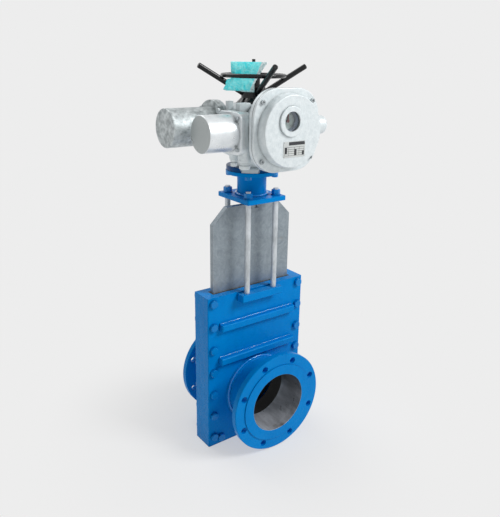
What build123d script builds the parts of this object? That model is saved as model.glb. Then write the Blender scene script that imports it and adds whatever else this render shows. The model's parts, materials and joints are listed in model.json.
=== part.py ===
from build123d import *
import os
from math import atan2, cos, degrees, pi, radians, sin, sqrt, tan

# Motor-driven knife gate valve. X runs across the body, Y along the flow, Z up the stem.
# The origin is the centre of the flow bore. The gate stands fully open.
# All sizes are in millimetres.

# Clearances
loose_gap = 0.3
running_gap = 0.05
bearing_gap = 0.1
bolt_gap = 0.8
press_gap = 0.01

# Flow passage and end flanges
bore_radius = 100.0
face_to_face = 336.0
flange_bolt_circle = 295.0
flange_edge = 22.5
flange_thickness = 20.0
flange_chamfer = 1.5
flange_hole_radius = 11.0
flange_hole_count = 8
raised_face_margin = 13.5
raised_face_height = 3.0
neck_wall = 9.5
plate_weld_leg = 12.0
flange_weld_leg = 7.0

# Body plates, the bars between them and their bolts
body_width = 381.0
body_top = 367.0
bottom_bar_floor = 49.0
side_bar_width = 35.2
plate_thickness = 25.0
channel_depth = 30.0
plate_corner_radius = 3.0
body_bolt_radius = 8.0
bolt_head_across = 24.0
bolt_head_height = 10.0
bolt_nut_height = 13.0
bolt_tip = 5.0
hex_top_ratio = 0.48
hex_top_slope = 30.0
bolt_turns = (45.0, 135.0, 225.0, 315.0)
bolt_edge_distance = 19.5
bolt_row_edge = 35.0
bolt_row_top_edge = 19.2
bolt_row_count = 7
bottom_bolt_edge = 24.0
bottom_bolt_inset = 46.5
bottom_bolt_count = 5

# Gate and its stroke
gate_thickness = 18.0
gate_stand = 49.0
gate_stroke = 225.0
gate_corner_cut = 51.0
gate_closed_overlap = 20.0
gate_end_gap = 3.0
guide_thickness = 5.0
packing_height = 40.0
bottom_bar_height = 132.0

# Rubber seat sleeves
seat_wall = 4.7
seat_reach = 60.0
seat_lip = 12.0
seat_lip_depth = 5.0

# Stiffening bars across the plates
stiffener_height = 23.0
stiffener_depth = 20.0
upper_stiffener_inset = 23.0
lower_stiffener_inset = 21.0
upper_stiffener_drop = 67.0
lower_stiffener_gap = 9.5
stiffener_chamfer = 3.0

# Yoke: brackets, tie rods and plate
bracket_end = 27.0
bracket_height = 24.0
bracket_lip = 17.0
bracket_drop = 4.0
rod_radius = 9.0
rod_thread_radius = 8.0
rod_spacing_x = 106.0
rod_stand_off = 16.0
rod_foot_depth = 22.0
yoke_gap = 17.0
yoke_thickness = 14.0
yoke_end = 20.0
yoke_side = 27.0
yoke_corner_radius = 5.0
rod_nut_across = 24.0
rod_nut_height = 15.0
rod_washer_radius = 15.0
rod_washer_thickness = 3.0
rod_tip = 4.0

# Pedestal that carries the actuator
pedestal_radius = 46.0
pedestal_wall = 7.0
pedestal_height = 66.0
pedestal_weld_leg = 7.0
pedestal_flange_thickness = 12.0
pedestal_bolt_circle = 144.0
pedestal_bolt_edge = 10.0
pedestal_bolt_radius = 6.0
pedestal_bolt_across = 18.0
pedestal_bolt_head = 10.0
base_flange_thickness = 14.0
base_flange_step = 1.5
blind_hole_floor = 2.0

# Stem and its joint with the gate
stem_radius = 14.0
stem_clearance = 2.0
stem_tee_radius = 24.0
stem_tee_height = 12.0
stem_tee_depth = 26.0
stem_nut_radius = 22.0
stem_nut_rise = 14.0
stem_nut_height = 60.0

# Hollow drive sleeve, its bearing, the worm wheel and the clutch
sleeve_radius = 26.0
sleeve_reach = 13.4
sleeve_shoulder_radius = 34.0
sleeve_shoulder_height = 8.0
lower_bearing_radius = 50.0
lower_bearing_height = 18.0
worm_wheel_width = 24.0
wheel_teeth = 30
worm_module = 2.9
worm_flank_gap = 0.9
worm_tip_height = 0.8
worm_root_depth = 1.2
worm_root_flare = 0.35
worm_tip_taper = 0.31
worm_length = 64.0
tooth_sink = 1.0
worm_offset = 60.0
worm_rise = 117.0
worm_shaft_radius = 9.0
worm_shaft_end = 180.0
clutch_radius = 38.0
clutch_height = 17.0
clutch_groove_depth = 6.0
clutch_groove_height = 7.0

# Motor and its reduction gears
motor_y = 66.0
motor_rise = 1.0
motor_radius = 56.5
motor_wall = 6.0
motor_end = -266.0
motor_face = -98.0
motor_end_rounding = 3.0
motor_flange_thickness = 12.0
motor_flange_radius = 76.5
motor_bolt_circle = 134.0
motor_bolt_radius = 5.0
motor_bolt_across = 16.0
motor_bolt_head = 6.4
stator_inner_radius = 30.0
stator_length = 80.0
rotor_gap = 0.6
motor_shaft_radius = 10.0
gear_module = 3.0
pinion_teeth = 12
idler_teeth = 26
worm_gear_teeth = 20
gear_backlash = 0.7
spur_tip_height = 0.85
spur_root_depth = 1.25
spur_root_flare = 0.4
spur_tip_taper = 0.42
tooth_room = 4.0
idler_pin_radius = 6.0
reduction_gear_width = 11.0
reduction_gear_left = -76.0
reduction_gear_gap = 3.0

# Rings that stand in for ball bearings
bearing_width = 12.0
worm_bearing_lefts = (-56.0, 44.0, 118.0)

# Cast gear housing
housing_radius = 98.0
housing_neck_radius = 62.0
housing_floor_rise = 42.0
housing_neck_rise = 24.0
housing_shoulder_rise = 57.0
housing_shoulder_rounding = 12.0
housing_lid_radius = 84.0
housing_top_rise = 69.0
housing_top_radius = 56.0
lid_step = 2.0
lid_slope_width = 6.0
gear_chamber_radius = 58.0
gear_chamber_rise = 47.0
worm_chamber_radius = 22.0
worm_boss_radius = 37.0
worm_boss_start = 50.0
worm_boss_end = 130.0
housing_rib = (-95.0, -79.0, -10.0, 6.0)
housing_rib_rise = 78.0
housing_lug = (-96.0, -56.0, -66.0, -48.0)
housing_lug_rise = 76.0
housing_lug_rounding = 5.0

# Torque spring cap on the end of the worm shaft
cap_radius = 29.0
cap_inner_radius = 23.0
cap_end = 230.0
cap_wall = 6.0
cap_flange_thickness = 8.0
cap_rounding = 9.0
spring_radius = 21.0
spring_thickness = 5.0
spring_pitch = 7.0
spring_start = 141.0
spring_count = 5

# Control compartment at the front
control_rise = 4.0
control_rim = 9.0
control_back_radius = 80.0
control_back = -60.0
control_face = -155.0
control_depth = 37.0
control_wall = 13.0
control_flange_width = 234.0
control_corner_cut = 37.0
control_flange_thickness = 12.0
cover_flange_thickness = 8.0
cover_drum_rim = 16.0
cover_drum_taper = 3.0
cover_drum_depth = 30.0
cover_drum_rounding = 2.5
cover_edge_rounding = 2.0
cover_wall = 6.0
gasket_thickness = 1.5
cover_bolt_edge_x = 28.0
cover_bolt_edge_z = 36.0
cover_bolt_radius = 4.0
cover_bolt_head_radius = 6.5
cover_bolt_head = 6.0
cover_socket_across = 6.0
cover_socket_depth = 3.5

# Window with its dial and pointer
window_x = -10.0
window_rise = 29.0
window_radius = 27.5
window_rim_radius = 42.0
window_rim_height = 6.0
glass_radius = 32.0
glass_thickness = 4.0
dial_radius = 25.0
dial_thickness = 1.5
dial_depth = 16.0
pointer_length = 20.0
pointer_width = 5.0
pointer_thickness = 1.2
pointer_gap = 3.0
indicator_shaft_radius = 3.0
indicator_shaft_tail = 5.0
indicator_box_half_width = 34.0
indicator_box_below = 44.0
indicator_box_above = 26.0
indicator_box_rounding = 5.0
switch_offset = 32.0
switch_half_width = 20.0
switch_depth = 40.0
switch_bottom_drop = 62.0
switch_top_drop = 24.0

# Blank rating plate
rating_plate_left = -36.0
rating_plate_right = 43.0
rating_plate_bottom_drop = 71.0
rating_plate_top_drop = 26.0
rating_plate_thickness = 1.0

# Terminal compartment at the left
terminal_y = -70.0
terminal_drop = 4.0
terminal_boss_radius = 55.0
terminal_flange_width = 118.0
terminal_corner_radius = 24.0
terminal_face = -121.0
terminal_flange_thickness = 13.0
terminal_cover_radius = 52.5
terminal_cover_end = -230.0
terminal_cover_wall = 5.0
terminal_end_rounding = 3.0
terminal_edge_chamfer = 1.0
terminal_bore_radius = 45.0
terminal_bore_depth = 22.0
terminal_bolt_circle = 124.0
terminal_bolt_radius = 3.0
terminal_bolt_head_radius = 5.0
terminal_bolt_head = 5.0
terminal_bolt_reach = 10.0
terminal_pin_radius = 3.0
terminal_pin_pitch = 9.0
terminal_row_offset = 16.0
terminal_pins_each_side = 3
terminal_board_thickness = 6.0
terminal_board_gap = 4.0
terminal_post_radius = 8.0

# Cable glands under the terminal compartment
gland_x = -104.0
gland_boss_drop = 16.0
large_gland_y = -106.0
large_gland_radius = 18.0
large_gland_drop = 74.0
large_gland_height = 27.0
small_gland_y = -52.0
small_gland_radius = 12.0
small_gland_drop = 78.0
small_gland_height = 23.0
gland_plug_recess = 2.0
gland_collar = 7.0
gland_step = 2.0
gland_nut_height = 11.0
gland_bore_ratio = 0.5

# Handwheel
hub_base_radius = 52.0
hub_radius = 36.0
hub_height = 50.0
hub_cone_height = 16.0
hub_rounding = 3.0
hub_spigot_radius = 29.0
hub_spigot_length = 20.0
hub_bush_wall = 7.0
spoke_radius = 8.0
spoke_slope = 30.0
spoke_tip_radius = 169.0
spoke_tip_rise = 108.0
spoke_root_radius = 22.0
spoke_count = 4
spoke_chamfer = 1.5
spoke_start_angle = -15.9
ring_radius = 92.5
ring_tube_radius = 6.0
stem_cover_radius = 20.0
stem_cover_wall = 3.0
stem_cover_height = 58.0
stem_top_gap = 8.0
cover_cap_radius = 22.5
cover_cap_height = 10.0
cover_cap_floor = 3.0
vent_plug_radius = 5.0
vent_plug_height = 15.0

# Switch-over lever at the back
lever_shaft_radius = 7.0
lever_pin_radius = 3.0
lever_throw = 8.0
lever_start_angle = -30.0
lever_boss_start = 60.0
lever_boss_end = 112.0
lever_boss_wall = 11.0
lever_crank_back = 42.0
lever_crank_thickness = 6.0
lever_crank_margin = 2.0
lever_length = 78.0
lever_thickness = 8.0
lever_half_width = 7.0
lever_hub_radius = 14.0
lever_knob_radius = 9.0
lever_knob_length = 22.0

# Document pouch that stands inside the handwheel's ring
pouch_thickness = 14.0
pouch_turn = -36.3
pouch_distance = 45.0
pouch_outline = (
    (-68.0, 122.0),
    (44.0, 122.0),
    (20.0, 85.0),
    (5.25, 58.0),
    (5.25, 29.0),
    (-92.0, 36.0),
    (-79.0, 55.0),
    (-66.0, 71.0),
)

# Worked out from the sizes above
flange_radius = flange_bolt_circle / 2 + flange_edge
raised_face_radius = flange_bolt_circle / 2 - raised_face_margin
neck_outer_radius = bore_radius + neck_wall
seat_outer_radius = bore_radius + seat_wall
seat_lip_radius = bore_radius + seat_lip
flange_face = face_to_face / 2
flange_back = flange_face - raised_face_height - flange_thickness
body_half_depth = plate_thickness + channel_depth / 2
body_bottom = -bore_radius - gate_closed_overlap - gate_end_gap - bottom_bar_floor
guide_outer = body_width / 2 - side_bar_width
guide_inner = guide_outer - guide_thickness
gate_width = 2 * (guide_inner - loose_gap)
bolt_column_x = body_width / 2 - bolt_edge_distance
bolt_row_first = body_bottom + bolt_row_edge
bolt_row_pitch = (body_top - bolt_row_top_edge - bolt_row_first) / (bolt_row_count - 1)
bottom_bolt_span = body_width - 2 * bottom_bolt_inset
gate_round_radius = gate_width / 2
gate_top = body_top + gate_stroke + gate_stand
gate_bottom = gate_stroke - bore_radius - gate_closed_overlap
gate_round_centre = gate_bottom + gate_round_radius
seat_lip_face = gate_thickness / 2 + loose_gap
bracket_top = body_top - bracket_drop
bracket_length = rod_spacing_x + 2 * bracket_end
bracket_depth = rod_stand_off + bracket_lip
rod_spacing_y = 2 * (body_half_depth + rod_stand_off)
upper_stiffener_bottom = bracket_top - bracket_height - upper_stiffener_drop - stiffener_height
lower_stiffener_bottom = neck_outer_radius + plate_weld_leg + lower_stiffener_gap
yoke_length = rod_spacing_x + 2 * yoke_end
yoke_depth = rod_spacing_y + 2 * yoke_side
yoke_bottom = gate_top + yoke_gap
yoke_top = yoke_bottom + yoke_thickness
pedestal_top = yoke_top + pedestal_height
pedestal_flange_radius = pedestal_bolt_circle / 2 + pedestal_bolt_edge
pedestal_flange_top = pedestal_top + pedestal_flange_thickness
base_flange_radius = pedestal_flange_radius - base_flange_step
base_flange_top = pedestal_flange_top + base_flange_thickness
stem_nut_bottom = base_flange_top + stem_nut_rise
stem_nut_top = stem_nut_bottom + stem_nut_height
sleeve_bottom = stem_nut_bottom
worm_height = base_flange_top + worm_rise
worm_lead = pi * worm_module
wheel_pitch_radius = worm_module * wheel_teeth / 2
worm_pitch_radius = worm_offset - wheel_pitch_radius
wheel_top = worm_height + worm_wheel_width / 2
clutch_bottom = wheel_top + 2 * loose_gap
clutch_middle = clutch_bottom + clutch_height / 2
sleeve_top = clutch_bottom + clutch_height + sleeve_reach
motor_height = worm_height + motor_rise
housing_floor = base_flange_top + housing_floor_rise
housing_shoulder = worm_height + housing_shoulder_rise
housing_top = worm_height + housing_top_rise
gear_chamber_top = worm_height + gear_chamber_rise
control_height = worm_height + control_rise
control_radius = control_flange_width / 2 - control_rim
control_corner_radius = control_flange_width / 2 - control_corner_cut
cover_drum_radius = control_flange_width / 2 - cover_drum_rim
cover_bolt_x = control_flange_width / 2 - cover_bolt_edge_x
cover_bolt_z = control_flange_width / 2 - cover_bolt_edge_z
cover_back = control_face - gasket_thickness
drum_back = cover_back - cover_flange_thickness
cover_front = drum_back - cover_drum_depth
window_z = control_height + window_rise
dial_back = cover_front + cover_wall + dial_depth
terminal_z = worm_height - terminal_drop
large_gland_top = terminal_z - large_gland_drop
small_gland_top = terminal_z - small_gland_drop
reduction_gear_right = reduction_gear_left + reduction_gear_width
pinion_radius = gear_module * pinion_teeth / 2
idler_radius = gear_module * idler_teeth / 2
worm_gear_radius = gear_module * worm_gear_teeth / 2
lever_height = clutch_middle - lever_throw * sin(radians(lever_start_angle))
hub_top = housing_top + hub_height
spoke_tip_height = housing_top + spoke_tip_rise
ring_drop = (spoke_tip_radius - ring_radius) * tan(radians(spoke_slope))
ring_lift = (spoke_radius + ring_tube_radius + running_gap) / cos(radians(spoke_slope))
ring_height = spoke_tip_height - ring_drop + ring_lift
stem_cover_top = hub_top + stem_cover_height
stem_top = stem_cover_top - stem_top_gap


def block(x0, x1, y0, y1, z0, z1):
    middle = ((x0 + x1) / 2, (y0 + y1) / 2, (z0 + z1) / 2)
    return Pos(*middle) * Box(abs(x1 - x0), abs(y1 - y0), abs(z1 - z0))


def round_x(radius, x0, x1, y, z):
    return Pos((x0 + x1) / 2, y, z) * Rot(0, 90, 0) * Cylinder(radius, abs(x1 - x0))


def round_y(radius, y0, y1, x=0.0, z=0.0):
    return Pos(x, (y0 + y1) / 2, z) * Rot(90, 0, 0) * Cylinder(radius, abs(y1 - y0))


def round_z(radius, z0, z1, x=0.0, y=0.0):
    return Pos(x, y, (z0 + z1) / 2) * Cylinder(radius, abs(z1 - z0))


def ring_z(outer, inner, z0, z1):
    return round_z(outer, z0, z1) - round_z(inner, z0, z1)


def cone_y(radius0, radius1, y0, y1):
    # The first radius is at y0 and the second at y1, with y0 below y1.
    return Pos(0, (y0 + y1) / 2, 0) * Rot(-90, 0, 0) * Cone(radius0, radius1, y1 - y0)


def hex_solid(across, height):
    # A hexagonal head or nut on the XY plane, its upper corners turned off at 30 degrees.
    prism = extrude(RegularPolygon(across / 2, 6, major_radius=False, rotation=30), height)
    top_radius = across * hex_top_ratio
    base_radius = top_radius + height / tan(radians(hex_top_slope))
    return prism & Pos(0, 0, height / 2) * Cone(base_radius, top_radius, height)


def to_rear(shape):
    return Rot(0, 0, 180) * shape


def save(shape, name):
    shape.label = name
    export_step(shape, f"parts/{name}.step")


def group(shapes):
    return Compound(children=list(shapes))


def body_bolt_places():
    places = []
    for side in (-1, 1):
        for row in range(bolt_row_count):
            places.append((side * bolt_column_x, bolt_row_first + row * bolt_row_pitch))
    for column in range(bottom_bolt_count):
        along = -bottom_bolt_span / 2 + column * bottom_bolt_span / (bottom_bolt_count - 1)
        places.append((along, body_bottom + bottom_bolt_edge))
    return places


def body_bolt_holes(y0, y1):
    return [round_y(body_bolt_radius + bolt_gap, y0, y1, x, z) for x, z in body_bolt_places()]


def body_plate():
    inner = -channel_depth / 2
    outer = -body_half_depth
    plate = block(-body_width / 2, body_width / 2, outer, inner, body_bottom, body_top)
    plate = fillet(plate.edges().filter_by(Axis.Z).group_by(Axis.Y)[0], plate_corner_radius)
    plate -= round_y(seat_outer_radius + loose_gap, outer, inner)
    plate -= round_y(seat_lip_radius + loose_gap, inner - seat_lip_depth, inner)
    plate -= body_bolt_holes(outer, inner)
    return plate


def side_bar():
    half = channel_depth / 2
    bar = block(guide_outer, body_width / 2, -half, half, body_bottom, body_top)
    bar -= body_bolt_holes(-half, half)
    return bar


def bottom_bar():
    half = channel_depth / 2
    top = body_bottom + bottom_bar_height
    bar = block(-guide_outer, guide_outer, -half, half, body_bottom, top)
    closed_centre = gate_round_centre - gate_stroke
    bar -= round_y(gate_round_radius + gate_end_gap, -half, half, 0, closed_centre)
    bar -= body_bolt_holes(-half, half)
    return bar


def gate_guide():
    half = channel_depth / 2
    bottom = body_bottom + bottom_bar_height
    return block(guide_inner, guide_outer, -half, half, bottom, body_top - packing_height)


def gate_packing():
    half = channel_depth / 2
    bottom = body_top - packing_height
    ring = block(-guide_outer, guide_outer, -half, half, bottom, body_top)
    slot_half = gate_thickness / 2 + loose_gap
    ring -= block(-guide_inner, guide_inner, -slot_half, slot_half, bottom, body_top)
    return ring


def seat_sleeve():
    inner = -channel_depth / 2 - seat_lip_depth
    sleeve = round_y(seat_outer_radius, -seat_reach, inner)
    sleeve += round_y(seat_lip_radius, inner, -seat_lip_face)
    return sleeve - round_y(bore_radius, -seat_reach, -seat_lip_face)


def neck():
    pipe = round_y(neck_outer_radius, -flange_back, -body_half_depth)
    weld_end = -body_half_depth - plate_weld_leg
    pipe += cone_y(neck_outer_radius, neck_outer_radius + plate_weld_leg, weld_end, -body_half_depth)
    back_end = -flange_back + flange_weld_leg
    pipe += cone_y(neck_outer_radius + flange_weld_leg, neck_outer_radius, -flange_back, back_end)
    pipe -= round_y(bore_radius, -flange_back, -body_half_depth)
    pipe -= round_y(seat_outer_radius + loose_gap, -seat_reach, -body_half_depth)
    return pipe


def end_flange():
    front = -flange_face + raised_face_height
    disc = round_y(flange_radius, front, -flange_back)
    disc = chamfer(disc.edges().filter_by(GeomType.CIRCLE), flange_chamfer)
    disc += round_y(raised_face_radius, -flange_face, front)
    disc -= round_y(bore_radius, -flange_face, -flange_back)
    for hole in range(flange_hole_count):
        turn = radians(360 / flange_hole_count * (hole + 0.5))
        x = flange_bolt_circle / 2 * cos(turn)
        z = flange_bolt_circle / 2 * sin(turn)
        disc -= round_y(flange_hole_radius, front, -flange_back, x, z)
    return disc


def stiffener(length, bottom):
    front = -body_half_depth - stiffener_depth
    bar = block(-length / 2, length / 2, front, -body_half_depth, bottom, bottom + stiffener_height)
    return chamfer(bar.edges().group_by(Axis.Y)[0], stiffener_chamfer)


def stiffeners():
    upper = stiffener(2 * (bolt_column_x - upper_stiffener_inset), upper_stiffener_bottom)
    lower = stiffener(2 * (bolt_column_x - lower_stiffener_inset), lower_stiffener_bottom)
    return [upper, lower]


def body_bolts():
    bolts = []
    for x, z in body_bolt_places():
        head = Pos(x, -body_half_depth, z) * Rot(90, 0, 0) * hex_solid(bolt_head_across, bolt_head_height)
        tip = body_half_depth + bolt_nut_height + bolt_tip
        bolts.append(head + round_y(body_bolt_radius, -body_half_depth, tip, x, z))
    return bolts


def body_nuts():
    nuts = []
    for x, z in body_bolt_places():
        nut = Pos(x, body_half_depth, z) * Rot(-90, 0, 0) * hex_solid(bolt_head_across, bolt_nut_height)
        nuts.append(nut - round_y(body_bolt_radius + running_gap, 0, body_half_depth * 2, x, z))
    return nuts


def rod_places():
    return [(sx * rod_spacing_x / 2, sy * rod_spacing_y / 2) for sx in (-1, 1) for sy in (-1, 1)]


def rod_bracket():
    front = -body_half_depth - bracket_depth
    bottom = bracket_top - bracket_height
    bar = block(-bracket_length / 2, bracket_length / 2, front, -body_half_depth, bottom, bracket_top)
    bar = chamfer(bar.edges().group_by(Axis.Y)[0], 2)
    for x, y in rod_places():
        if y < 0:
            bar -= round_z(rod_radius + running_gap, bracket_top - rod_foot_depth, bracket_top, x, y)
    return bar


def tie_rods():
    rods = []
    tip = yoke_top + rod_washer_thickness + rod_nut_height + rod_tip
    for x, y in rod_places():
        rod = round_z(rod_radius, bracket_top - rod_foot_depth, yoke_bottom, x, y)
        rods.append(rod + round_z(rod_thread_radius, yoke_bottom, tip, x, y))
    return rods


def rod_washers():
    hole = rod_thread_radius + loose_gap
    top = yoke_top + rod_washer_thickness
    washer = ring_z(rod_washer_radius, hole, yoke_top, top)
    return [Pos(x, y, 0) * washer for x, y in rod_places()]


def rod_nuts():
    bottom = yoke_top + rod_washer_thickness
    nut = Pos(0, 0, bottom) * hex_solid(rod_nut_across, rod_nut_height)
    nut -= round_z(rod_thread_radius + running_gap, bottom, bottom + rod_nut_height)
    return [Pos(x, y, 0) * nut for x, y in rod_places()]


def yoke_plate():
    outline = RectangleRounded(yoke_length, yoke_depth, yoke_corner_radius)
    plate = Pos(0, 0, yoke_bottom) * extrude(outline, yoke_thickness)
    plate = chamfer(plate.edges().group_by(Axis.Z)[-1], 1)
    plate -= round_z(pedestal_radius - pedestal_wall, yoke_bottom, yoke_top)
    for x, y in rod_places():
        plate -= round_z(rod_thread_radius + loose_gap, yoke_bottom, yoke_top, x, y)
    return plate


def pedestal_tube():
    inner = pedestal_radius - pedestal_wall
    tube = round_z(pedestal_radius, yoke_top, pedestal_top)
    weld = Cone(pedestal_radius + pedestal_weld_leg, pedestal_radius, pedestal_weld_leg)
    tube += Pos(0, 0, yoke_top + pedestal_weld_leg / 2) * weld
    return tube - round_z(inner, yoke_top, pedestal_top)


def pedestal_bolt_places():
    reach = pedestal_bolt_circle / 2
    return [(reach * cos(radians(a)), reach * sin(radians(a))) for a in bolt_turns]


def pedestal_flange():
    disc = round_z(pedestal_flange_radius, pedestal_top, pedestal_flange_top)
    disc = chamfer(disc.edges().filter_by(GeomType.CIRCLE), 1)
    disc -= round_z(pedestal_radius - pedestal_wall, pedestal_top, pedestal_flange_top)
    for x, y in pedestal_bolt_places():
        disc -= round_z(pedestal_bolt_radius + bolt_gap / 2, pedestal_top, pedestal_flange_top, x, y)
    return disc


def pedestal_bolts():
    bolts = []
    for x, y in pedestal_bolt_places():
        head = Rot(180, 0, 0) * hex_solid(pedestal_bolt_across, pedestal_bolt_head)
        shank = round_z(pedestal_bolt_radius, pedestal_top, base_flange_top - blind_hole_floor, x, y)
        bolts.append(Pos(x, y, pedestal_top) * head + shank)
    return bolts


def gate():
    half = gate_width / 2
    cut = gate_corner_cut
    plate = block(-half, half, -gate_thickness / 2, gate_thickness / 2, gate_round_centre, gate_top)
    plate += round_y(gate_round_radius, -gate_thickness / 2, gate_thickness / 2, 0, gate_round_centre)
    for side in (-1, 1):
        corner = Pos(side * half, 0, gate_top) * Rot(0, 45, 0)
        plate -= corner * Box(cut * sqrt(2), gate_thickness, cut * sqrt(2))
    # The stem's tee hangs in this slot, which opens to both faces.
    slot_bottom = gate_top - stem_tee_depth - running_gap
    slot_top = slot_bottom + stem_tee_height + 2 * running_gap
    reach = stem_tee_radius + running_gap
    plate -= block(-reach, reach, -gate_thickness, gate_thickness, slot_bottom, slot_top)
    neck_half = stem_radius + stem_clearance / 2
    plate -= block(-neck_half, neck_half, -gate_thickness, gate_thickness, slot_top, gate_top)
    return plate


def stem():
    bottom = gate_top - stem_tee_depth
    shaft = round_z(stem_radius, bottom, stem_top)
    shaft = chamfer(shaft.edges().group_by(Axis.Z)[-1], 2)
    tee = round_z(stem_tee_radius, bottom, bottom + stem_tee_height)
    tee &= block(-stem_tee_radius, stem_tee_radius, -stem_radius, stem_radius, bottom, gate_top)
    return shaft + tee


def stem_nut():
    nut = round_z(stem_nut_radius, stem_nut_bottom, stem_nut_top)
    return nut - round_z(stem_radius + running_gap, stem_nut_bottom, stem_nut_top)


def drive_sleeve():
    sleeve = round_z(sleeve_radius, sleeve_bottom, sleeve_top)
    shoulder_bottom = sleeve_bottom + lower_bearing_height
    shoulder_top = shoulder_bottom + sleeve_shoulder_height
    sleeve += round_z(sleeve_shoulder_radius, shoulder_bottom, shoulder_top)
    sleeve -= round_z(stem_nut_radius + press_gap, sleeve_bottom, stem_nut_top)
    return sleeve - round_z(stem_radius + stem_clearance, sleeve_bottom, sleeve_top)


def lower_bearing():
    top = sleeve_bottom + lower_bearing_height - running_gap
    return ring_z(lower_bearing_radius, sleeve_radius + running_gap, sleeve_bottom, top)


def worm_wheel():
    # Teeth follow the lead of the worm where the two meet, and reach past its pitch line.
    root = wheel_pitch_radius - worm_module * worm_root_depth
    tip = wheel_pitch_radius + worm_module * worm_tip_height
    half_root = worm_lead / 4 + worm_module * worm_root_flare - worm_flank_gap / 2
    half_tip = worm_lead / 4 - worm_module * worm_tip_taper - worm_flank_gap / 2
    base = root - tooth_sink
    corners = (base, half_root), (tip, half_tip), (tip, -half_tip), (base, -half_root)
    tooth = make_face(Polyline(*corners, close=True))
    lead_angle = atan2(worm_lead, 2 * pi * worm_pitch_radius)
    bar = extrude(tooth, worm_wheel_width, both=True)
    bar = Rot(-degrees(lead_angle), 0, 0) * bar
    wheel = round_z(root, -worm_wheel_width / 2, worm_wheel_width / 2)
    wheel += [Rot(0, 0, wheel_start() + 360 / wheel_teeth * step) * bar for step in range(wheel_teeth)]
    wheel &= ring_z(tip, sleeve_radius + running_gap, -worm_wheel_width / 2, worm_wheel_width / 2)
    return Pos(0, 0, worm_height) * wheel


def clutch_ring():
    top = clutch_bottom + clutch_height
    ring = ring_z(clutch_radius, sleeve_radius + running_gap, clutch_bottom, top)
    low = clutch_middle - clutch_groove_height / 2
    high = clutch_middle + clutch_groove_height / 2
    return ring - ring_z(clutch_radius + 1, clutch_radius - clutch_groove_depth, low, high)


def wheel_start():
    # A gap of the wheel faces the thread of the worm at the middle.
    return -90 + 180 / wheel_teeth


def worm_shaft():
    # One trapezoidal thread is wound round the core of the worm.
    core_radius = worm_pitch_radius - worm_module
    thread_root = worm_lead / 4 + worm_module * worm_root_flare
    thread_tip = worm_lead / 4 - worm_module * worm_tip_taper
    tip_radius = worm_pitch_radius + worm_module * worm_tip_height
    turns = int(worm_length / worm_lead) - 1
    path = Helix(worm_lead, worm_lead * turns, core_radius)
    section = Plane.XZ * make_face(
        Polyline(
            (core_radius - tooth_sink / 2, thread_root / 2 + tooth_sink / 2),
            (tip_radius, thread_tip / 2),
            (tip_radius, -thread_tip / 2),
            (core_radius - tooth_sink / 2, -thread_root / 2 - tooth_sink / 2),
            close=True,
        )
    )
    thread = sweep(section, path=path, is_frenet=True)
    thread = Pos(0, 0, -worm_lead * turns / 2) * thread
    worm = Cylinder(core_radius, worm_length) + thread
    worm = Pos(0, -worm_offset, worm_height) * Rot(0, 90, 0) * Rot(0, 0, 90) * worm
    shaft_left = reduction_gear_left - reduction_gear_gap
    return worm + round_x(worm_shaft_radius, shaft_left, worm_shaft_end, -worm_offset, worm_height)


def spur_gear(teeth, bore, y, z, start_turn):
    # Straight-sided teeth, thinned by the backlash, with the pitch circle of the module.
    pitch = gear_module * teeth / 2
    root = pitch - gear_module * spur_root_depth
    tip = pitch + gear_module * spur_tip_height
    half_pitch = gear_module * pi / 4 - gear_backlash / 2
    half_root = half_pitch + gear_module * spur_root_flare
    half_tip = half_pitch - gear_module * spur_tip_taper
    base = root - tooth_sink
    corners = (base, half_root), (tip, half_tip), (tip, -half_tip), (base, -half_root)
    tooth = make_face(Polyline(*corners, close=True))
    outline = Circle(root) + [Rot(0, 0, 360 / teeth * step) * tooth for step in range(teeth)]
    gear = extrude(outline - Circle(bore), reduction_gear_width)
    return Pos(reduction_gear_left, y, z) * Rot(0, 90, 0) * Rot(0, 0, start_turn) * gear


def worm_gear():
    bore = worm_shaft_radius + press_gap
    return spur_gear(worm_gear_teeth, bore, -worm_offset, worm_height, worm_gear_start())


def on_motor_axis(radius, x0, x1):
    return round_x(radius, x0, x1, motor_y, motor_height)


def motor_bolt_places():
    reach = motor_bolt_circle / 2
    turns = [radians(turn) for turn in bolt_turns]
    return [(motor_y + reach * cos(turn), motor_height + reach * sin(turn)) for turn in turns]


def at_motor_bolts(radius, x0, x1):
    return [round_x(radius, x0, x1, y, z) for y, z in motor_bolt_places()]


def motor_flange():
    left = motor_face - motor_flange_thickness
    flange = on_motor_axis(motor_flange_radius, left, motor_face)
    return chamfer(flange.edges().filter_by(GeomType.CIRCLE), 1)


def idler_place():
    # The idler sits on the line between the pinion and the gear on the worm shaft.
    pinion_reach = pinion_radius + idler_radius
    share = pinion_reach / (pinion_reach + idler_radius + worm_gear_radius)
    y = motor_y + (-worm_offset - motor_y) * share
    z = motor_height + (worm_height - motor_height) * share
    return y, z


def motor_shell():
    left = motor_face - motor_flange_thickness
    shell = on_motor_axis(motor_radius, motor_end, motor_face)
    shell = fillet(shell.edges().filter_by(GeomType.CIRCLE).group_by(Axis.X)[0], motor_end_rounding)
    shell += motor_flange()
    shell -= on_motor_axis(motor_radius - motor_wall, motor_end + motor_wall, motor_face)
    shell -= at_motor_bolts(motor_bolt_radius + bolt_gap / 2, left, motor_face)
    return shell


def housing_casting():
    # Turned about the stem axis, with a neck, a rounded shoulder and a lid.
    profile = Polyline(
        (0, base_flange_top),
        (housing_neck_radius, base_flange_top),
        (housing_neck_radius, base_flange_top + housing_neck_rise),
        (housing_radius, housing_floor),
        (housing_radius, housing_shoulder - housing_shoulder_rounding),
        (housing_lid_radius, housing_shoulder),
        (housing_top_radius + lid_slope_width, housing_top - lid_step),
        (housing_top_radius, housing_top),
        (0, housing_top),
        close=True,
    )
    return revolve(Plane.XZ * make_face(profile), Axis.Z)


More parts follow.
